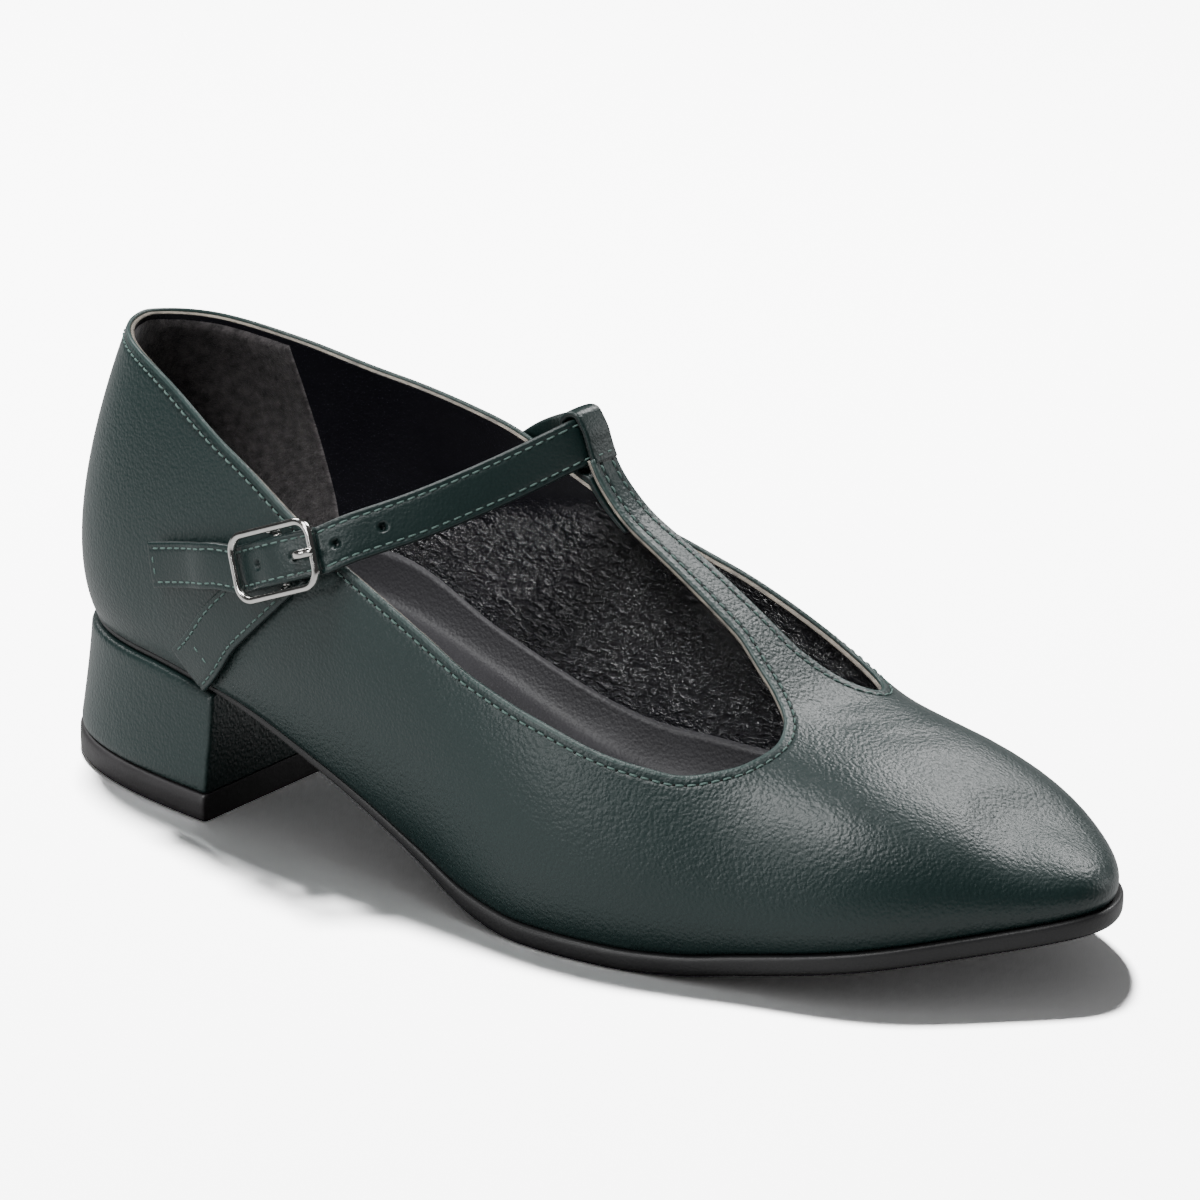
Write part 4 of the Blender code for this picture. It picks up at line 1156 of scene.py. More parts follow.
def build_heel_suede():
    """Suede lining of the heel, lying on the lining with a cut front edge."""
    high, wide = 34, 150
    up_share, front = np.array(SUEDE_FRONT).T
    front_at = monotone(up_share, front)
    levels = np.linspace(0, 1, high)
    layers = []
    for depth in (WALL + SUEDE_LIFT, WALL + 0.00002):
        grid = []
        for level in levels:
            reach = float(front_at(level))
            stations = np.linspace(-reach, reach, wide)
            low, top = SUEDE_FOOT, collar_way(stations) - SUEDE_UNDER_EDGE
            thick = np.full(wide, depth)
            thick[[0, -1]] = WALL + 0.00015
            if level == 1:
                thick[:] = WALL + 0.00010
            grid.append(on_wall(stations, low + (top - low) * level, -thick)[0])
        layers.append(np.vstack(grid))
    points = np.vstack(layers)
    total = len(layers[0])
    faces = grid_faces(high, wide)
    faces += [tuple(total + i for i in reversed(f)) for f in faces]
    rim = list(range(wide)) + [r * wide + wide - 1 for r in range(1, high)]
    rim += [(high - 1) * wide + c for c in reversed(range(wide - 1))]
    rim += [r * wide for r in reversed(range(1, high - 1))]
    for k, a in enumerate(rim):
        b = rim[(k + 1) % len(rim)]
        faces.append((a, b, total + b, total + a))
    return piece("heel_suede_lining", points, faces, (suede,))


build_heel_suede()


# Sole and heel


def ring_stack(name, rings, finishes, replaced, centre_rows):
    """A closed solid from rings, with both ends closed by rows that run in to the middle."""
    count = len(rings[0])
    rows = list(rings)

    def closing(ring):
        # rows of points from the ring to a line down its middle
        partner = ring[(-np.arange(count)) % count]
        middle = (ring + partner) / 2
        centre = ring.mean(0)
        middle = centre + (middle - centre) * 0.86
        middle[:, 2] = ring[:, 2]
        return [ring * (1 - s) + middle * s for s in np.linspace(0, 1, centre_rows)[1:]]

    start, stop = closing(rows[0]), closing(rows[-1])
    rows = start[::-1] + rows + stop
    faces = grid_faces(len(rows), count, 0, True)
    faces += middle_faces(0, count) + middle_faces((len(rows) - 1) * count, count)
    return piece(name, np.vstack(rows), faces, finishes, replaced)


def sole_ring(stations, stand, height):
    """A ring round the feather line, stood out by stand, at a height worked out from x."""
    ring = feather(stations) + feather_outward(stations) * np.asarray(stand)[..., None]
    ring[:, 2] = height(ring[:, 0])
    return ring


def build_sole():
    """Outsole with a rounded lip, full length."""
    stations = np.arange(360) * RING / 360
    stand = stand_of(feather_x(stations))
    top = lambda x: sole_line(x) - GAP
    section = (
        # set in from the edge as a share of SOLE_GAUGE, depth as a share of the gauge
        (0.60, 0.000), (0.22, 0.000), (0.12, 0.015), (0.045, 0.07), (0.010, 0.16), (0.0, 0.28),
        (0.0, 0.45), (0.004, 0.62), (0.02, 0.78), (0.055, 0.89), (0.12, 0.965), (0.22, 0.995),
        (0.40, 1.000), (0.70, 1.000),
    )
    thin = np.minimum(1, gauge_of(feather_x(stations)) / SOLE_GAUGE + 0.25)
    rings = []
    for inset, deep in section:
        ring = sole_ring(stations, stand - inset * SOLE_GAUGE * thin, top)
        ring[:, 2] -= deep * gauge_of(ring[:, 0])
        rings.append(ring)
    return ring_stack("outsole", rings, (rubber,), ("outsole",), centre_rows=10)


build_sole()


def heel_outline(stand):
    """Plan of the heel: round the back from one breast corner to the other, and across."""
    reach = np.interp(BREAST, feather_x(np.linspace(0, 4, 400)), np.linspace(0, 4, 400))
    stations = np.linspace(-reach, reach, 200)
    ring = feather(stations) + feather_outward(stations) * stand
    ring[0, 0] = ring[-1, 0] = BREAST
    share = np.linspace(0, 1, 60)[1:-1, None]
    across = ring[-1] * (1 - share) + ring[0] * share
    line = np.vstack([ring, across])
    closed = np.vstack([line, line[:1]])[:, :2]
    closed = np.hstack([closed, 0 * closed[:, :1]])
    even = even_rows(closed, 401)[:-1]
    even = blur(even, 3, 1, True)
    # starts at the middle of the back, so that both halves mirror each other
    start = int(np.argmin(even[:, 0]))
    return np.roll(even, -start, axis=0)


def heel_stack(name, section, finishes, replaced):
    rings = []
    for stand, height in section:
        ring = heel_outline(stand).copy()
        ring[:, 2] = height(ring[:, 0]) if callable(height) else height
        rings.append(ring)
    return ring_stack(name, rings, finishes, replaced, centre_rows=8)


def build_heel_block():
    """Leather-covered block that follows the underside of the sole and spreads to the tip."""
    seat = lambda x: sole_line(x) - 2 * GAP - gauge_of(x)
    foot = TIP_GAUGE + GAP
    section = []
    for share, ease in ((0.0, 0.0011), (0.004, 0.0006), (0.02, 0.0002), (0.05, 0.0), (0.12, 0.0),
                        (0.22, 0.0), (0.35, 0.0), (0.5, 0.0), (0.65, 0.0), (0.8, 0.0),
                        (0.92, 0.0), (0.965, 0.0001), (0.988, 0.0003), (1.0, 0.0008)):
        stand = HEEL_SEAT + (HEEL_FLARE - HEEL_SEAT) * share**1.3 - ease
        section.append((stand, lambda x, s=share: seat(x) * (1 - s) + foot * s))
    return heel_stack("heel_block", section, (green,), ("heel_block",))


build_heel_block()


def build_heel_tip():
    """Rubber top piece, with softened edges."""
    section = []
    for ease, share in ((0.0010, 1.0), (0.0005, 0.99), (0.00012, 0.94), (-0.0002, 0.85),
                        (-0.00025, 0.6), (-0.00025, 0.3), (-0.0002, 0.12), (0.0001, 0.03),
                        (0.0005, 0.0)):
        section.append((HEEL_FLARE - ease, TIP_GAUGE * share))
    return heel_stack("heel_tip", section, (tip_rubber,), ("heel_tip",))


build_heel_tip()


# Strap, loop, tab and buckle

WIRE_OUT = 0.13 * WIRE       # the seen wire is finer than its solid, and lies a little further out
WIRE_HIGH = 0.80 * WIRE
WIRE_WIDE = 0.76 * WIRE
BAR_WIRE = 0.8 * WIRE
TAB_LIFT = 0.25 * WALL
CENTRE_BAR = TAB_LIFT + TAB_GAUGE + GAP + BAR_WIRE / 2
STRAP_OVER = CENTRE_BAR + BAR_WIRE / 2 + GAP
STRAP_UNDER = TAB_LIFT + TAB_GAUGE + 1.5 * GAP
FRAME_LIFT = STRAP_UNDER + STRAP_GAUGE + 1.3 * GAP + WIRE / 2
HOOK_GAUGE = 0.6 * PRONG
HOOK = BAR_WIRE / 2 + GAP + HOOK_GAUGE / 2
STRAP_AT = 0.87 * BAR_REACH
STRAP_BEHIND = WALL + 3.0 * GAP + STRAP_GAUGE


def buckle_axes():
    """Centre of the buckle on the wall, and its directions along, across and out."""
    centre, out = on_wall(np.array(BUCKLE_AT[0]), np.array(BUCKLE_AT[1]), 0.0)
    level = np.array([-out[1], out[0], 0.0])
    level /= np.linalg.norm(level)
    run = level * math.cos(BUCKLE_RISE) + np.cross(out, level) * math.sin(BUCKLE_RISE)
    return centre, run, np.cross(out, run), out


def buckle_point(reach, lift, side=0.0):
    """A point given along, above and across the buckle."""
    centre, run, across, out = buckle_axes()
    return centre + run * reach + out * lift + across * side


def strap_rows():
    """Centres of the strap's under side and its outward directions, tail to sewn end."""
    rows = []

    def add(point, out):
        rows.append(np.hstack([point, out]))

    for station, way, lift in TAIL:
        add(*on_wall(np.array(station), np.array(way), lift * WALL))
    centre, run, across, out = buckle_axes()
    half = BUCKLE_LENGTH / 2
    for reach, share in BUCKLE_WAVE:
        lift = STRAP_UNDER + (STRAP_OVER - STRAP_UNDER) * share
        add(centre + run * half * reach + out * lift, out)
    top, up, front = bar_frame(STRAP_AT)
    under = top - front * STRAP_BEHIND
    side = np.array([0.0, 0.42 * BAR_WIDTH, 0.0])
    lean_in = np.array([0.0, 0.16, 0.0])

    def span(start, start_out, stop, stop_out, table):
        for share, bulge, sag in table:
            facing = start_out * (1 - share) + stop_out * share
            facing /= np.linalg.norm(facing)
            point = start * (1 - share) + stop * share + facing * bulge * STRAP_GAUGE
            add(point - np.array([0, 0, sag * STRAP_GAUGE]), facing)

    last = centre + run * half * BUCKLE_WAVE[-1][0] + out * STRAP_UNDER
    span(last, out, under - side, front - 2 * lean_in, OUTER_SPAN)
    add(under - side, front - lean_in)
    add(under, front)
    add(under + side, front + lean_in)
    meet, meet_out = on_wall(np.array(RING - SEWN_END[0][0]), np.array(SEWN_END[0][1]),
                             SEWN_END[0][2] * WALL)
    span(under + side, front + 2 * lean_in, meet, meet_out, INNER_SPAN)
    for station, way, lift in SEWN_END:
        add(*on_wall(np.array(RING - station), np.array(way), lift * WALL))
    return np.array(rows)


class Strip:
    """A leather strip laid along rows of centre and outward direction."""

    def __init__(self, rows, width, gauge, spacing=0.00045):
        path = smooth_path(np.asarray(rows, float), 400)
        path = even_rows(path, max(12, int(walk_of(path)[-1] / spacing)))
        self.walk = walk_of(path)
        self.centre = path[:, :3]
        self.run = unit(np.gradient(self.centre, axis=0))
        self.across = unit(np.cross(path[:, 3:6], self.run))
        self.out = np.cross(self.run, self.across)
        self.width = np.broadcast_to(width, len(path))
        self.gauge = np.broadcast_to(gauge, len(path)) if path.shape[1] == 6 else path[:, 6]

    def at(self, walk, side, lift):
        """Point and outward direction at a walk along, a distance across and a lift above."""
        centre, across, out = (at_walk(walk, self.walk, rows)
                               for rows in (self.centre, self.across, self.out))
        out = unit(out)
        gauge = np.interp(walk, self.walk, self.gauge)
        point = centre + across * np.asarray(side)[..., None]
        return point + out * (gauge + lift)[..., None], out

    def build(self, name, finishes, replaced=(), pits=(), seams=(), crown=0.00012,
              columns=25):
        half = self.width / 2
        ease = np.minimum(0.0005, 0.42 * self.gauge)
        sides = [(math.sin(t), 1 - math.cos(t)) for t in np.radians([30, 60, 90])]
        points = []
        flat_half = half - ease
        for a in np.linspace(-1, 1, columns):
            offset = a * flat_half
            high = self.gauge + crown * (1 - a * a)
            for seam in seams:
                off = (np.abs(offset) - (half - seam)) / SEAM_SPREAD
                high = high - SEAM_SINK * np.exp(-off**2)
            for walk, side, size in pits:
                away = np.hypot(self.walk - walk, offset - side)
                high = high - PIT_DEPTH * (1 - ramp(away, 0.72 * size, 1.02 * size))
                high = high + PIT_RIM * np.exp(-((away - 1.35 * size) / 0.0003)**2)
            points.append((offset, high))
        for s, c in sides:
            points.append((flat_half + ease * s, self.gauge - ease * c))
        points.append((half - 0.00012, self.gauge * 0.5))
        points.append((half, self.gauge * 0.42))
        for s, c in reversed(sides[:-1]):
            points.append((flat_half + ease * s, 0.42 * self.gauge * c))
        for a in np.linspace(1, -1, 7):
            points.append((a * flat_half, 0 * half))
        for s, c in sides[:-1]:
            points.append((-flat_half - ease * s, 0.42 * self.gauge * c))
        points.append((-half, self.gauge * 0.42))
        points.append((-half + 0.00012, self.gauge * 0.5))
        for s, c in reversed(sides):
            points.append((-flat_half - ease * s, self.gauge - ease * c))
        ring = np.array([self.centre + self.across * a[:, None] + self.out * h[:, None]
                         for a, h in points])
        ring = np.swapaxes(ring, 0, 1)
        count, sides_count = ring.shape[:2]
        faces = grid_faces(count, sides_count, 0, True)
        side_start, side_stop = columns + 2, columns + 5
        other_start = sides_count - 5
        zones = []
        for k in range(len(faces)):
            c = k % sides_count
            on_side = side_start <= c < side_stop or other_start <= c < other_start + 3
            zones.append(1 if on_side and len(finishes) > 1 else 0)
        faces.append(tuple(range(sides_count)))
        faces.append(tuple((count - 1) * sides_count + i for i in range(sides_count)))
        zones += [1 if len(finishes) > 1 else 0] * 2
        return piece(name, ring.reshape(-1, 3), faces, finishes, replaced, zones)


strap = Strip(strap_rows(), STRAP_WIDTH, STRAP_GAUGE)


def strap_walk(point):
    """How far along the strap it passes nearest to a point."""
    return float(strap.walk[np.argmin(np.linalg.norm(strap.centre - point, axis=1))])


prong_at = strap_walk(buckle_point(0.50 * BUCKLE_LENGTH / 2, STRAP_OVER))
HOLE = 0.00095           # radius of the strap's holes
HOLE_PITCH = 0.0095
holes = [(prong_at + k * HOLE_PITCH, 0.0, HOLE) for k in (-1, 0, 1, 2)]
strap.build("ankle_strap", (strap_green, edge_paint), ("ankle_strap",),
            pits=holes, seams=(STRAP_STITCH_IN,))


# The bar's end: up in front of the strap, over it, and down behind the bar
FOLD_OVER = (
    # beyond the strap's upper edge, back as a share of the strap's gauge, facing
    (-0.40, -0.52, 6),
    (0.12, -0.38, 30),
    (0.38, 0.06, 68),
    (0.40, 0.52, 96),
    (0.12, 0.92, 138),
    (-0.35, 1.30, 176),
)
FOLD_UNDER = (
    # below the strap, back as a share of the strap's gauge, facing
    (-0.30, 1.30, 182),
    (0.10, 1.15, 203),
    (0.70, 0.60, 215),
    (1.35, 0.12, 202),
    (2.20, 0.00, 182),
)
LOOP_TAIL = (
    # share of the way up from where the bar turns, share of LOOP_GAUGE
    (0.60, 0.90),
    (0.35, 0.75),
    (0.12, 0.55),
)


def loop_rows():
    edge = STRAP_AT + STRAP_WIDTH / 2
    foot = STRAP_AT - STRAP_WIDTH / 2
    back = STRAP_BEHIND - STRAP_GAUGE
    front = LOOP_GAUGE        # the strip's under side lies this far behind the bar's face
    rows = [(BAR_CUT - 0.0010 + 0.002 * k, front - 0.00004 * k, 0, 1) for k in range(4)]
    rows += [(edge + b * LOOP_GAUGE, back + f * STRAP_GAUGE, a, 1) for b, f, a in FOLD_OVER]
    rows += [(STRAP_AT, back + FOLD_UNDER[0][1] * STRAP_GAUGE, 180, 1)]
    rows += [(foot - b * LOOP_GAUGE, back + f * STRAP_GAUGE, a, 1) for b, f, a in FOLD_UNDER]
    rows += [(foot * share, back, 180, gauge) for share, gauge in LOOP_TAIL]
    placed = []
    for reach, behind_face, angle, gauge in rows:
        centre, up, face = bar_frame(min(reach, BAR_REACH))
        turn = math.radians(angle)
        point = centre + up * max(reach - BAR_REACH, 0) - face * behind_face
        out = up * math.sin(turn) + face * math.cos(turn)
        placed.append(np.hstack([point, out, gauge * LOOP_GAUGE]))
    return np.array(placed)


loop = Strip(loop_rows(), BAR_WIDTH * BAR_TAPER, LOOP_GAUGE, 0.0004)
loop.build("t_bar_loop", (strap_green, edge_paint), ("t_bar_loop",), columns=21)


def tab_rows():
    rows = [np.hstack(on_wall(np.array(s), np.array(w), TAB_LIFT)) for s, w in TAB]
    centre, run, across, out = buckle_axes()
    rows.append(np.hstack([centre + run * 0.0012 + out * TAB_LIFT, out]))
    return np.array(rows)


tab = Strip(tab_rows(), TAB_WIDTH, TAB_GAUGE)
tab.build("buckle_tab", (strap_green, edge_paint), ("buckle_tab",),
          seams=(STRAP_STITCH_IN,))


def wire(path, ups, high, wide, closed, sides=16):
    """Rings of a wire along a path, flattened to a height and a width."""
    runs = np.roll(path, -1, axis=0) - np.roll(path, 1, axis=0) if closed \
        else np.gradient(path, axis=0)
    side = unit(np.cross(unit(runs), ups))
    ups = np.cross(side, unit(runs))
    turn = np.arange(sides) * 2 * math.pi / sides
    around = np.sign(np.cos(turn)) * np.abs(np.cos(turn))**0.75
    over = np.sign(np.sin(turn)) * np.abs(np.sin(turn))**0.85
    high, wide = np.broadcast_to(high, len(path)), np.broadcast_to(wide, len(path))
    rings = (path[:, None] + side[:, None] * (around[None, :] * wide[:, None] / 2)[..., None]
             + ups[:, None] * (over[None, :] * high[:, None] / 2)[..., None])
    faces = grid_faces(len(path), sides, 0, True)
    if closed:
        last = (len(path) - 1) * sides
        faces += [(last + i, last + (i + 1) % sides, (i + 1) % sides, i) for i in range(sides)]
    else:
        faces.append(tuple(range(sides)))
        faces.append(tuple((len(path) - 1) * sides + i for i in range(sides)))
    return rings.reshape(-1, 3), faces


def build_buckle():
    """Polished frame with rounded corners, and its centre bar."""
    half_length = BUCKLE_LENGTH / 2 + WIRE_OUT
    half_height, corner = BUCKLE_HEIGHT / 2 + WIRE_OUT, BUCKLE_CORNER + WIRE_OUT
    outline = []
    for x, y, turn in ((1, 1, 0), (-1, 1, 90), (-1, -1, 180), (1, -1, 270)):
        for step in range(13):
            angle = math.radians(turn + step * 7.5)
            outline.append((x * (half_length - corner) + corner * math.cos(angle),
                            y * (half_height - corner) + corner * math.sin(angle)))
    centre, run, across, out = buckle_axes()
    middle = centre + out * FRAME_LIFT
    path = np.array([middle + run * a + across * b for a, b in outline + outline[:1]])
    path = even_rows(path, 181)[:-1]
    points, faces = wire(path, np.tile(out, (len(path), 1)), WIRE_HIGH, WIRE_WIDE, True)
    rise = FRAME_LIFT - CENTRE_BAR
    bar = []
    for share in np.linspace(-1, 1, 41):
        dip = rise * ramp(1 - abs(share), 0.0, 0.16)
        bar.append(middle + across * half_height * share - out * dip)
    more, extra = wire(np.array(bar), np.tile(run, (len(bar), 1)), BAR_WIRE, BAR_WIRE, False)
    faces += [tuple(len(points) + i for i in f) for f in extra]
    return piece("buckle_frame", np.vstack([points, more]), faces, (silver,),
                 ("buckle_frame",))


build_buckle()


def build_prong():
    """Flat tongue hooked round the centre bar, through the strap and down on the front bar."""
    half = BUCKLE_LENGTH / 2
    rest = FRAME_LIFT + WIRE * 0.43 + GAP / 2 + PRONG / 2
    middle = (STRAP_OVER + STRAP_UNDER + STRAP_GAUGE) / 2 + GAP / 2
    line = [(HOOK * math.cos(math.radians(a)), CENTRE_BAR + HOOK * math.sin(math.radians(a)),
             HOOK_GAUGE, PRONG) for a in range(170, 321, 25)]
    line += [(0.27 * half, middle - 0.8 * PRONG, PRONG, PRONG), (0.42 * half, middle, PRONG, PRONG),
             (0.58 * half, middle + 1.0 * PRONG, PRONG, PRONG),
             (0.78 * half, rest + 0.1 * PRONG, 0.85 * PRONG, 1.15 * PRONG),
             (half, rest, 0.7 * PRONG, 1.2 * PRONG),
             (half + WIRE * 0.62, rest - 0.1 * PRONG, 0.6 * PRONG, 1.1 * PRONG),
             (half + WIRE * 0.85, rest - 0.2 * PRONG, 0.3 * PRONG, 0.6 * PRONG)]
    rows = np.array([(*buckle_point(x, z), high, wide) for x, z, high, wide in line])
    rows = even_rows(smooth_path(rows, 80), 70)
    across = buckle_axes()[2]
    ups = np.cross(np.tile(across, (len(rows), 1)), unit(np.gradient(rows[:, :3], axis=0)))
    points, faces = wire(rows[:, :3], ups, rows[:, 3], rows[:, 4], False, 14)
    return piece("buckle_prong", points, faces, (silver,), ("buckle_prong",))


build_prong()


# Stitches


STITCH = (
    # share of its length from the middle, lift and thickness as shares of the thread's
    (-0.56, -1.30, 0.55),
    (-0.42, -0.15, 0.90),
    (-0.20, 0.30, 1.00),
    (0.00, 0.36, 1.00),
    (0.20, 0.30, 1.00),
    (0.42, -0.15, 0.90),
    (0.56, -1.30, 0.55),
)


def sew(walk, point_at):
    """Stitches and needle holes along a line; point_at gives point and outward for walks."""
    count = max(1, int((walk[1] - walk[0]) / STITCH_PITCH))
    starts = walk[0] + (np.arange(count) + 0.5) * (walk[1] - walk[0]) / count
    shares, lifts, fats = np.array(STITCH).T
    lifts, fats = lifts * THREAD, fats * THREAD / 2
    sides = 7
    points, faces, holes_at = [], [], []
    turn = np.arange(sides) * 2 * math.pi / sides
    for start in starts:
        spots, outs = point_at(start + shares * STITCH_LENGTH)
        centre = spots + outs * lifts[:, None]
        run = unit(np.gradient(spots, axis=0))
        side = unit(np.cross(run, outs))
        base = len(points) * len(shares) * sides
        ring = (centre[:, None] + side[:, None] * (np.cos(turn) * fats[:, None])[..., None]
                + outs[:, None] * (np.sin(turn) * fats[:, None])[..., None])
        points.append(ring.reshape(-1, 3))
        faces += [tuple(base + i for i in f) for f in grid_faces(len(shares), sides, 0, True)]
        faces.append(tuple(base + i for i in range(sides)))
        faces.append(tuple(base + (len(shares) - 1) * sides + i for i in range(sides)))
        holes_at.append(start + STITCH_PITCH / 2)
    spots, outs = point_at(np.array(holes_at))
    return np.vstack(points), faces, spots, outs


sewn_points, sewn_faces, hole_spots, hole_outs, hole_runs = [], [], [], [], []


def keep_stitches(made):
    points, faces, spots, outs = made
    base = sum(len(p) for p in sewn_points)
    sewn_points.append(points)
    sewn_faces.extend(tuple(base + i for i in f) for f in faces)
    hole_spots.append(spots)
    hole_outs.append(outs)
    hole_runs.append(np.gradient(spots, axis=0) if len(spots) > 1 else outs[:, [1, 2, 0]])


def sew_opening():
    """One row round the opening, a little in from the folded edge."""
    seam = slide(slide(opening_line(), FOLD), CHANNEL)
    spots, outs = on_wall(seam[:, 0], seam[:, 1], np.full(len(seam), -0.00010))
    walked = walk_of(spots)

    def at(walk):
        return at_walk(walk, walked, spots), unit(at_walk(walk, walked, outs))

    keep_stitches(sew((0.0012, walked[-1] - 0.0012), at))


def sew_strip(strip, start, stop, side):
    """A row along a strip, at a distance from its middle."""
    keep_stitches(sew((start, stop), lambda w: strip.at(w, np.full(len(w), side), -0.00012)))


def sew_across(strip, walk, reach):
    """A short row across a strip."""
    keep_stitches(sew((-reach, reach), lambda a: strip.at(np.full(len(a), walk), a, -0.00006)))


sew_opening()
strap_side = STRAP_WIDTH / 2 - STRAP_STITCH_IN
strap_end = strap.walk[-1]
for side in (-strap_side, strap_side):
    sew_strip(strap, STRAP_STITCH_IN, strap_end - STRAP_STITCH_IN, side)
sew_across(strap, STRAP_STITCH_IN, strap_side - STITCH_PITCH / 2)
sew_across(strap, strap_end - STRAP_STITCH_IN - 0.001, strap_side - STITCH_PITCH / 2)
collar_walk = strap_walk(on_wall(np.array(RING - 4.12), np.array(0.445), 0.001)[0])
sew_across(strap, collar_walk, strap_side - STITCH_PITCH / 2)
for side in (-(TAB_WIDTH / 2 - STRAP_STITCH_IN), TAB_WIDTH / 2 - STRAP_STITCH_IN):
    sew_strip(tab, STRAP_STITCH_IN, tab.walk[-1] - 0.009, side)
sew_across(tab, 0.0075, TAB_WIDTH / 4)
sew_across(loop, 0.0014, BAR_WIDTH * BAR_TAPER / 2 - 0.0009)
piece("stitches", np.vstack(sewn_points), sewn_faces, (thread_green,))


def punch_holes():
    """The small needle holes between the stitches, each a low closed near-black lens: painted
    shade, as no hole is cut.
    """
    spots, outs = np.vstack(hole_spots), np.vstack(hole_outs)
    runs = np.vstack(hole_runs)
    runs = unit(runs - outs * (runs * outs).sum(1)[:, None])
    side = np.cross(runs, outs)
    turn = np.arange(8) * 2 * math.pi / 8
    rim = (spots[:, None] + runs[:, None] * (np.cos(turn)[:, None] * NEEDLE_LONG)
           + side[:, None] * (np.sin(turn)[:, None] * NEEDLE_WIDE))
    top = spots + outs * 0.00006
    low = spots - outs * 0.00015
    points = np.concatenate([rim, top[:, None], low[:, None]], 1)
    faces = []
    for k in range(len(spots)):
        for i in range(8):
            j = (i + 1) % 8
            faces.append((k * 10 + i, k * 10 + j, k * 10 + 8))
            faces.append((k * 10 + j, k * 10 + i, k * 10 + 9))
    piece("needle_holes", points.reshape(-1, 3), faces, (needle_hole_painted_shade,))


punch_holes()


# Floor, light and camera

CENTRE = np.array([0.120, 0.0, 0.040]) + OFFSET     # what the camera is aimed at
FLOOR_SENDS = 0.55       # share of the light that the floor throws back on the shoe
FLOOR_SHOWS = 4.6        # the same as the camera sees it, burnt out to a pale ground
WORLD_LIGHT = 0.05


def build_floor():
    """A wide pale sheet under the shoe."""
    mesh = bpy.data.meshes.new("floor")
    size = 6.0
    mesh.from_pydata([(-size, -size, 0), (size, -size, 0), (size, size, 0), (-size, size, 0)],
                     [], [(0, 1, 2, 3)])
    material, tree, shader = finish("pale_floor", (FLOOR_SENDS,) * 3, (FLOOR_SENDS * 1.01,) * 3,
                                    (0.9, 0.95), patch=400.0, specular=0.0)
    path = add_node(tree, "ShaderNodeLightPath")
    seen = add_node(tree, "ShaderNodeMix", data_type="RGBA")
    join(tree, path.outputs["Is Camera Ray"], seen.inputs[0])
    join(tree, shader.inputs["Base Color"].links[0].from_socket, seen.inputs[6])
    seen.inputs[7].default_value = (FLOOR_SHOWS, FLOOR_SHOWS, FLOOR_SHOWS, 1)
    join(tree, seen.outputs[2], shader.inputs["Base Color"])
    mesh.materials.append(material)
    item = bpy.data.objects.new("floor", mesh)
    bpy.context.scene.collection.objects.link(item)
    return item


floor = build_floor()


def stand(item, side, up, back, spot):
    """Turns and places a light or the camera; it looks away from back."""
    item.matrix_world = Matrix([[side[i], up[i], back[i], spot[i]] for i in range(3)]
                               + [[0, 0, 0, 1]])


def softbox(name, spot, aim, width, power, lit):
    """A square soft light aimed at a point, shining only on what is in lit."""
    light = bpy.data.lights.new(name, "AREA")
    light.shape = "RECTANGLE"
    light.size, light.size_y = width, width
    light.energy = power
    item = bpy.data.objects.new(name, light)
    bpy.context.scene.collection.objects.link(item)
    item.light_linking.receiver_collection = lit
    back = unit(spot - aim)
    side = unit(np.cross((0.0, 0.0, 1.0), back) + (1e-6, 0, 0))
    stand(item, side, np.cross(back, side), back, spot)


def lit_list(name, item, state):
    """A list for the lights that takes in one object alone, or everything but that one."""
    lit = bpy.data.collections.new(name)
    lit.objects.link(item)
    lit.collection_objects[0].light_linking.link_state = state
    return lit


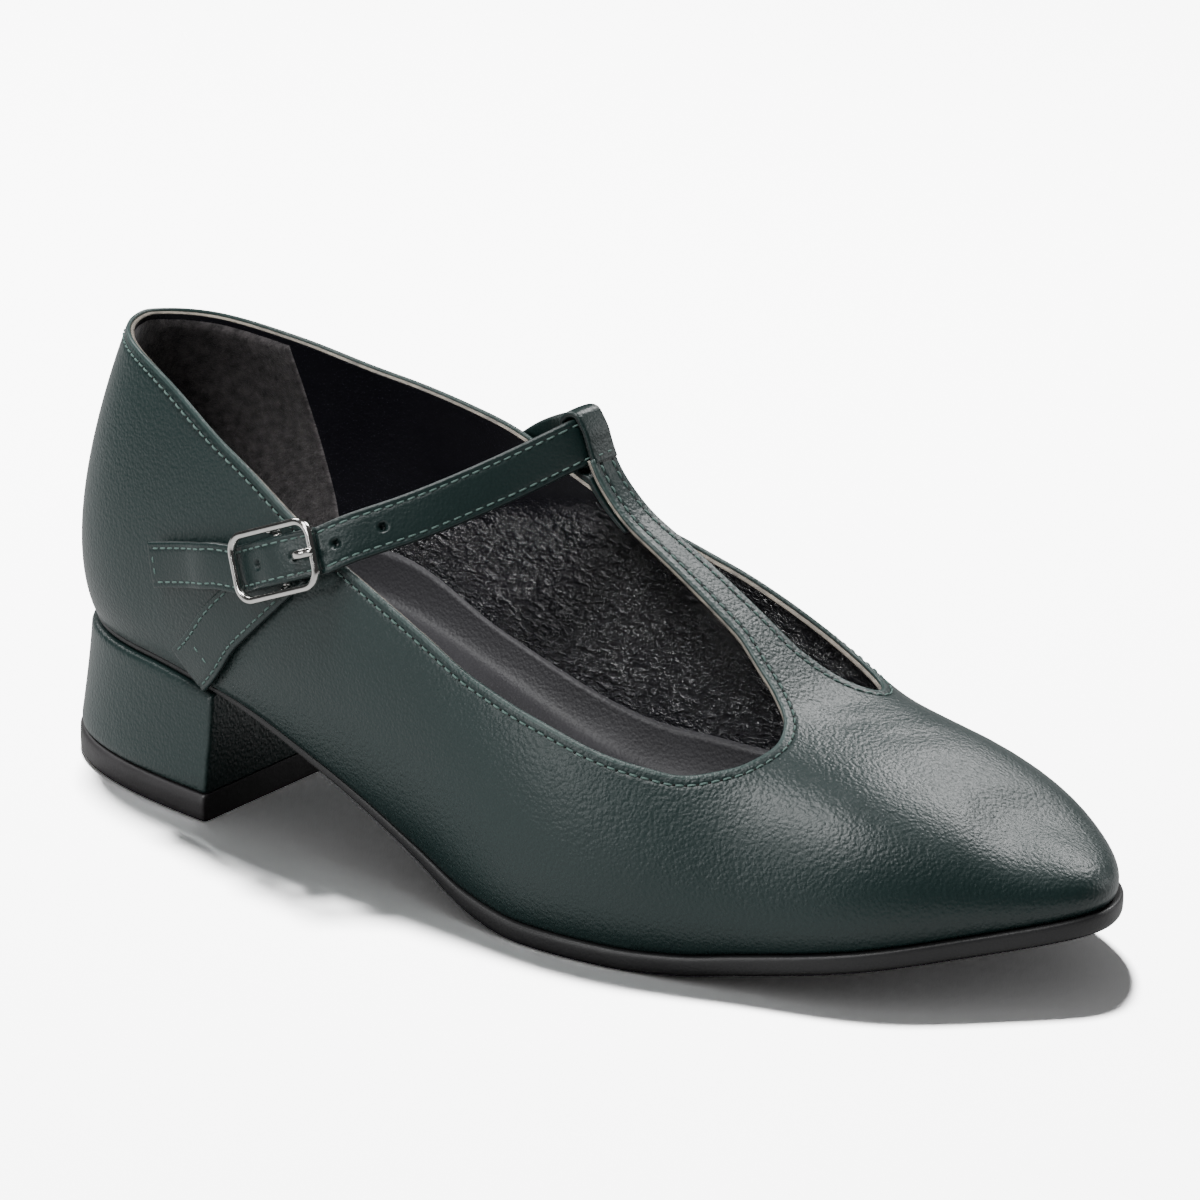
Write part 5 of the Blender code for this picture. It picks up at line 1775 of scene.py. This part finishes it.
# Softboxes round the shoe. The last two light only the floor and only the lining.
SOFTBOXES = (
    # name, degrees above the floor, degrees from the toe to the inner side, distance, width, power
    ("softbox_above", 73, -112, 1.5, 0.50, 19.0),
    ("softbox_heel", 42, 168, 1.6, 0.60, 13.0),
    ("softbox_outer", 48, -96, 1.6, 0.45, 6.0),
    ("softbox_low", 17, -112, 1.6, 0.45, 8.0),
    ("softbox_inner", 42, 92, 1.6, 0.42, 16.0),
    ("softbox_toe", 16, 56, 1.6, 0.50, 4.0),
    ("softbox_floor", 70, 142, 1.6, 0.20, 50.0),
    ("softbox_lining", 44, -72, 1.6, 0.35, 80.0),
)


def set_lights():
    world = bpy.data.worlds.new("studio")
    bpy.context.scene.world = world
    world.use_nodes = True
    background = world.node_tree.nodes["Background"]
    background.inputs["Color"].default_value = (1.0, 1.0, 1.0, 1)
    background.inputs["Strength"].default_value = WORLD_LIGHT
    special = {"softbox_floor": lit_list("floor_alone", floor, "INCLUDE"),
               "softbox_lining": lit_list("lining_alone", lining_skin, "INCLUDE")}
    all_but_floor = lit_list("all_but_floor", floor, "EXCLUDE")
    for name, rise, turn, distance, width, power in SOFTBOXES:
        rise, turn = math.radians(rise), math.radians(turn)
        spot = CENTRE + distance * np.array([math.cos(rise) * math.cos(turn),
                                             math.cos(rise) * math.sin(turn), math.sin(rise)])
        softbox(name, spot, CENTRE, width, power, special.get(name, all_but_floor))


set_lights()

AZIMUTH, ELEVATION, ROLL = math.radians(36.788), math.radians(20.27), math.radians(0.56)
DISTANCE = 1.3203
FRAME_WIDTH = 1200
SCALE = 1.28 * 3936      # pixels to the metre at CENTRE
AIM = (577.8, 665.4)     # pixel that the camera's axis meets


def place_camera():
    data = bpy.data.cameras.new("camera")
    item = bpy.data.objects.new("camera", data)
    bpy.context.scene.collection.objects.link(item)
    back = np.array([math.sin(AZIMUTH) * math.cos(ELEVATION),
                     -math.cos(AZIMUTH) * math.cos(ELEVATION), math.sin(ELEVATION)])
    right = np.array([math.cos(AZIMUTH), math.sin(AZIMUTH), 0.0])
    up = np.cross(back, right)
    right, up = (right * math.cos(ROLL) + up * math.sin(ROLL),
                 up * math.cos(ROLL) - right * math.sin(ROLL))
    stand(item, right, up, back, CENTRE + back * DISTANCE)
    data.sensor_width = 36
    data.lens = SCALE * DISTANCE / FRAME_WIDTH * data.sensor_width
    data.shift_x = (FRAME_WIDTH / 2 - AIM[0]) / FRAME_WIDTH
    data.shift_y = (AIM[1] - FRAME_WIDTH / 2) / FRAME_WIDTH
    data.clip_start, data.clip_end = 0.05, 30
    bpy.context.scene.camera = item


place_camera()
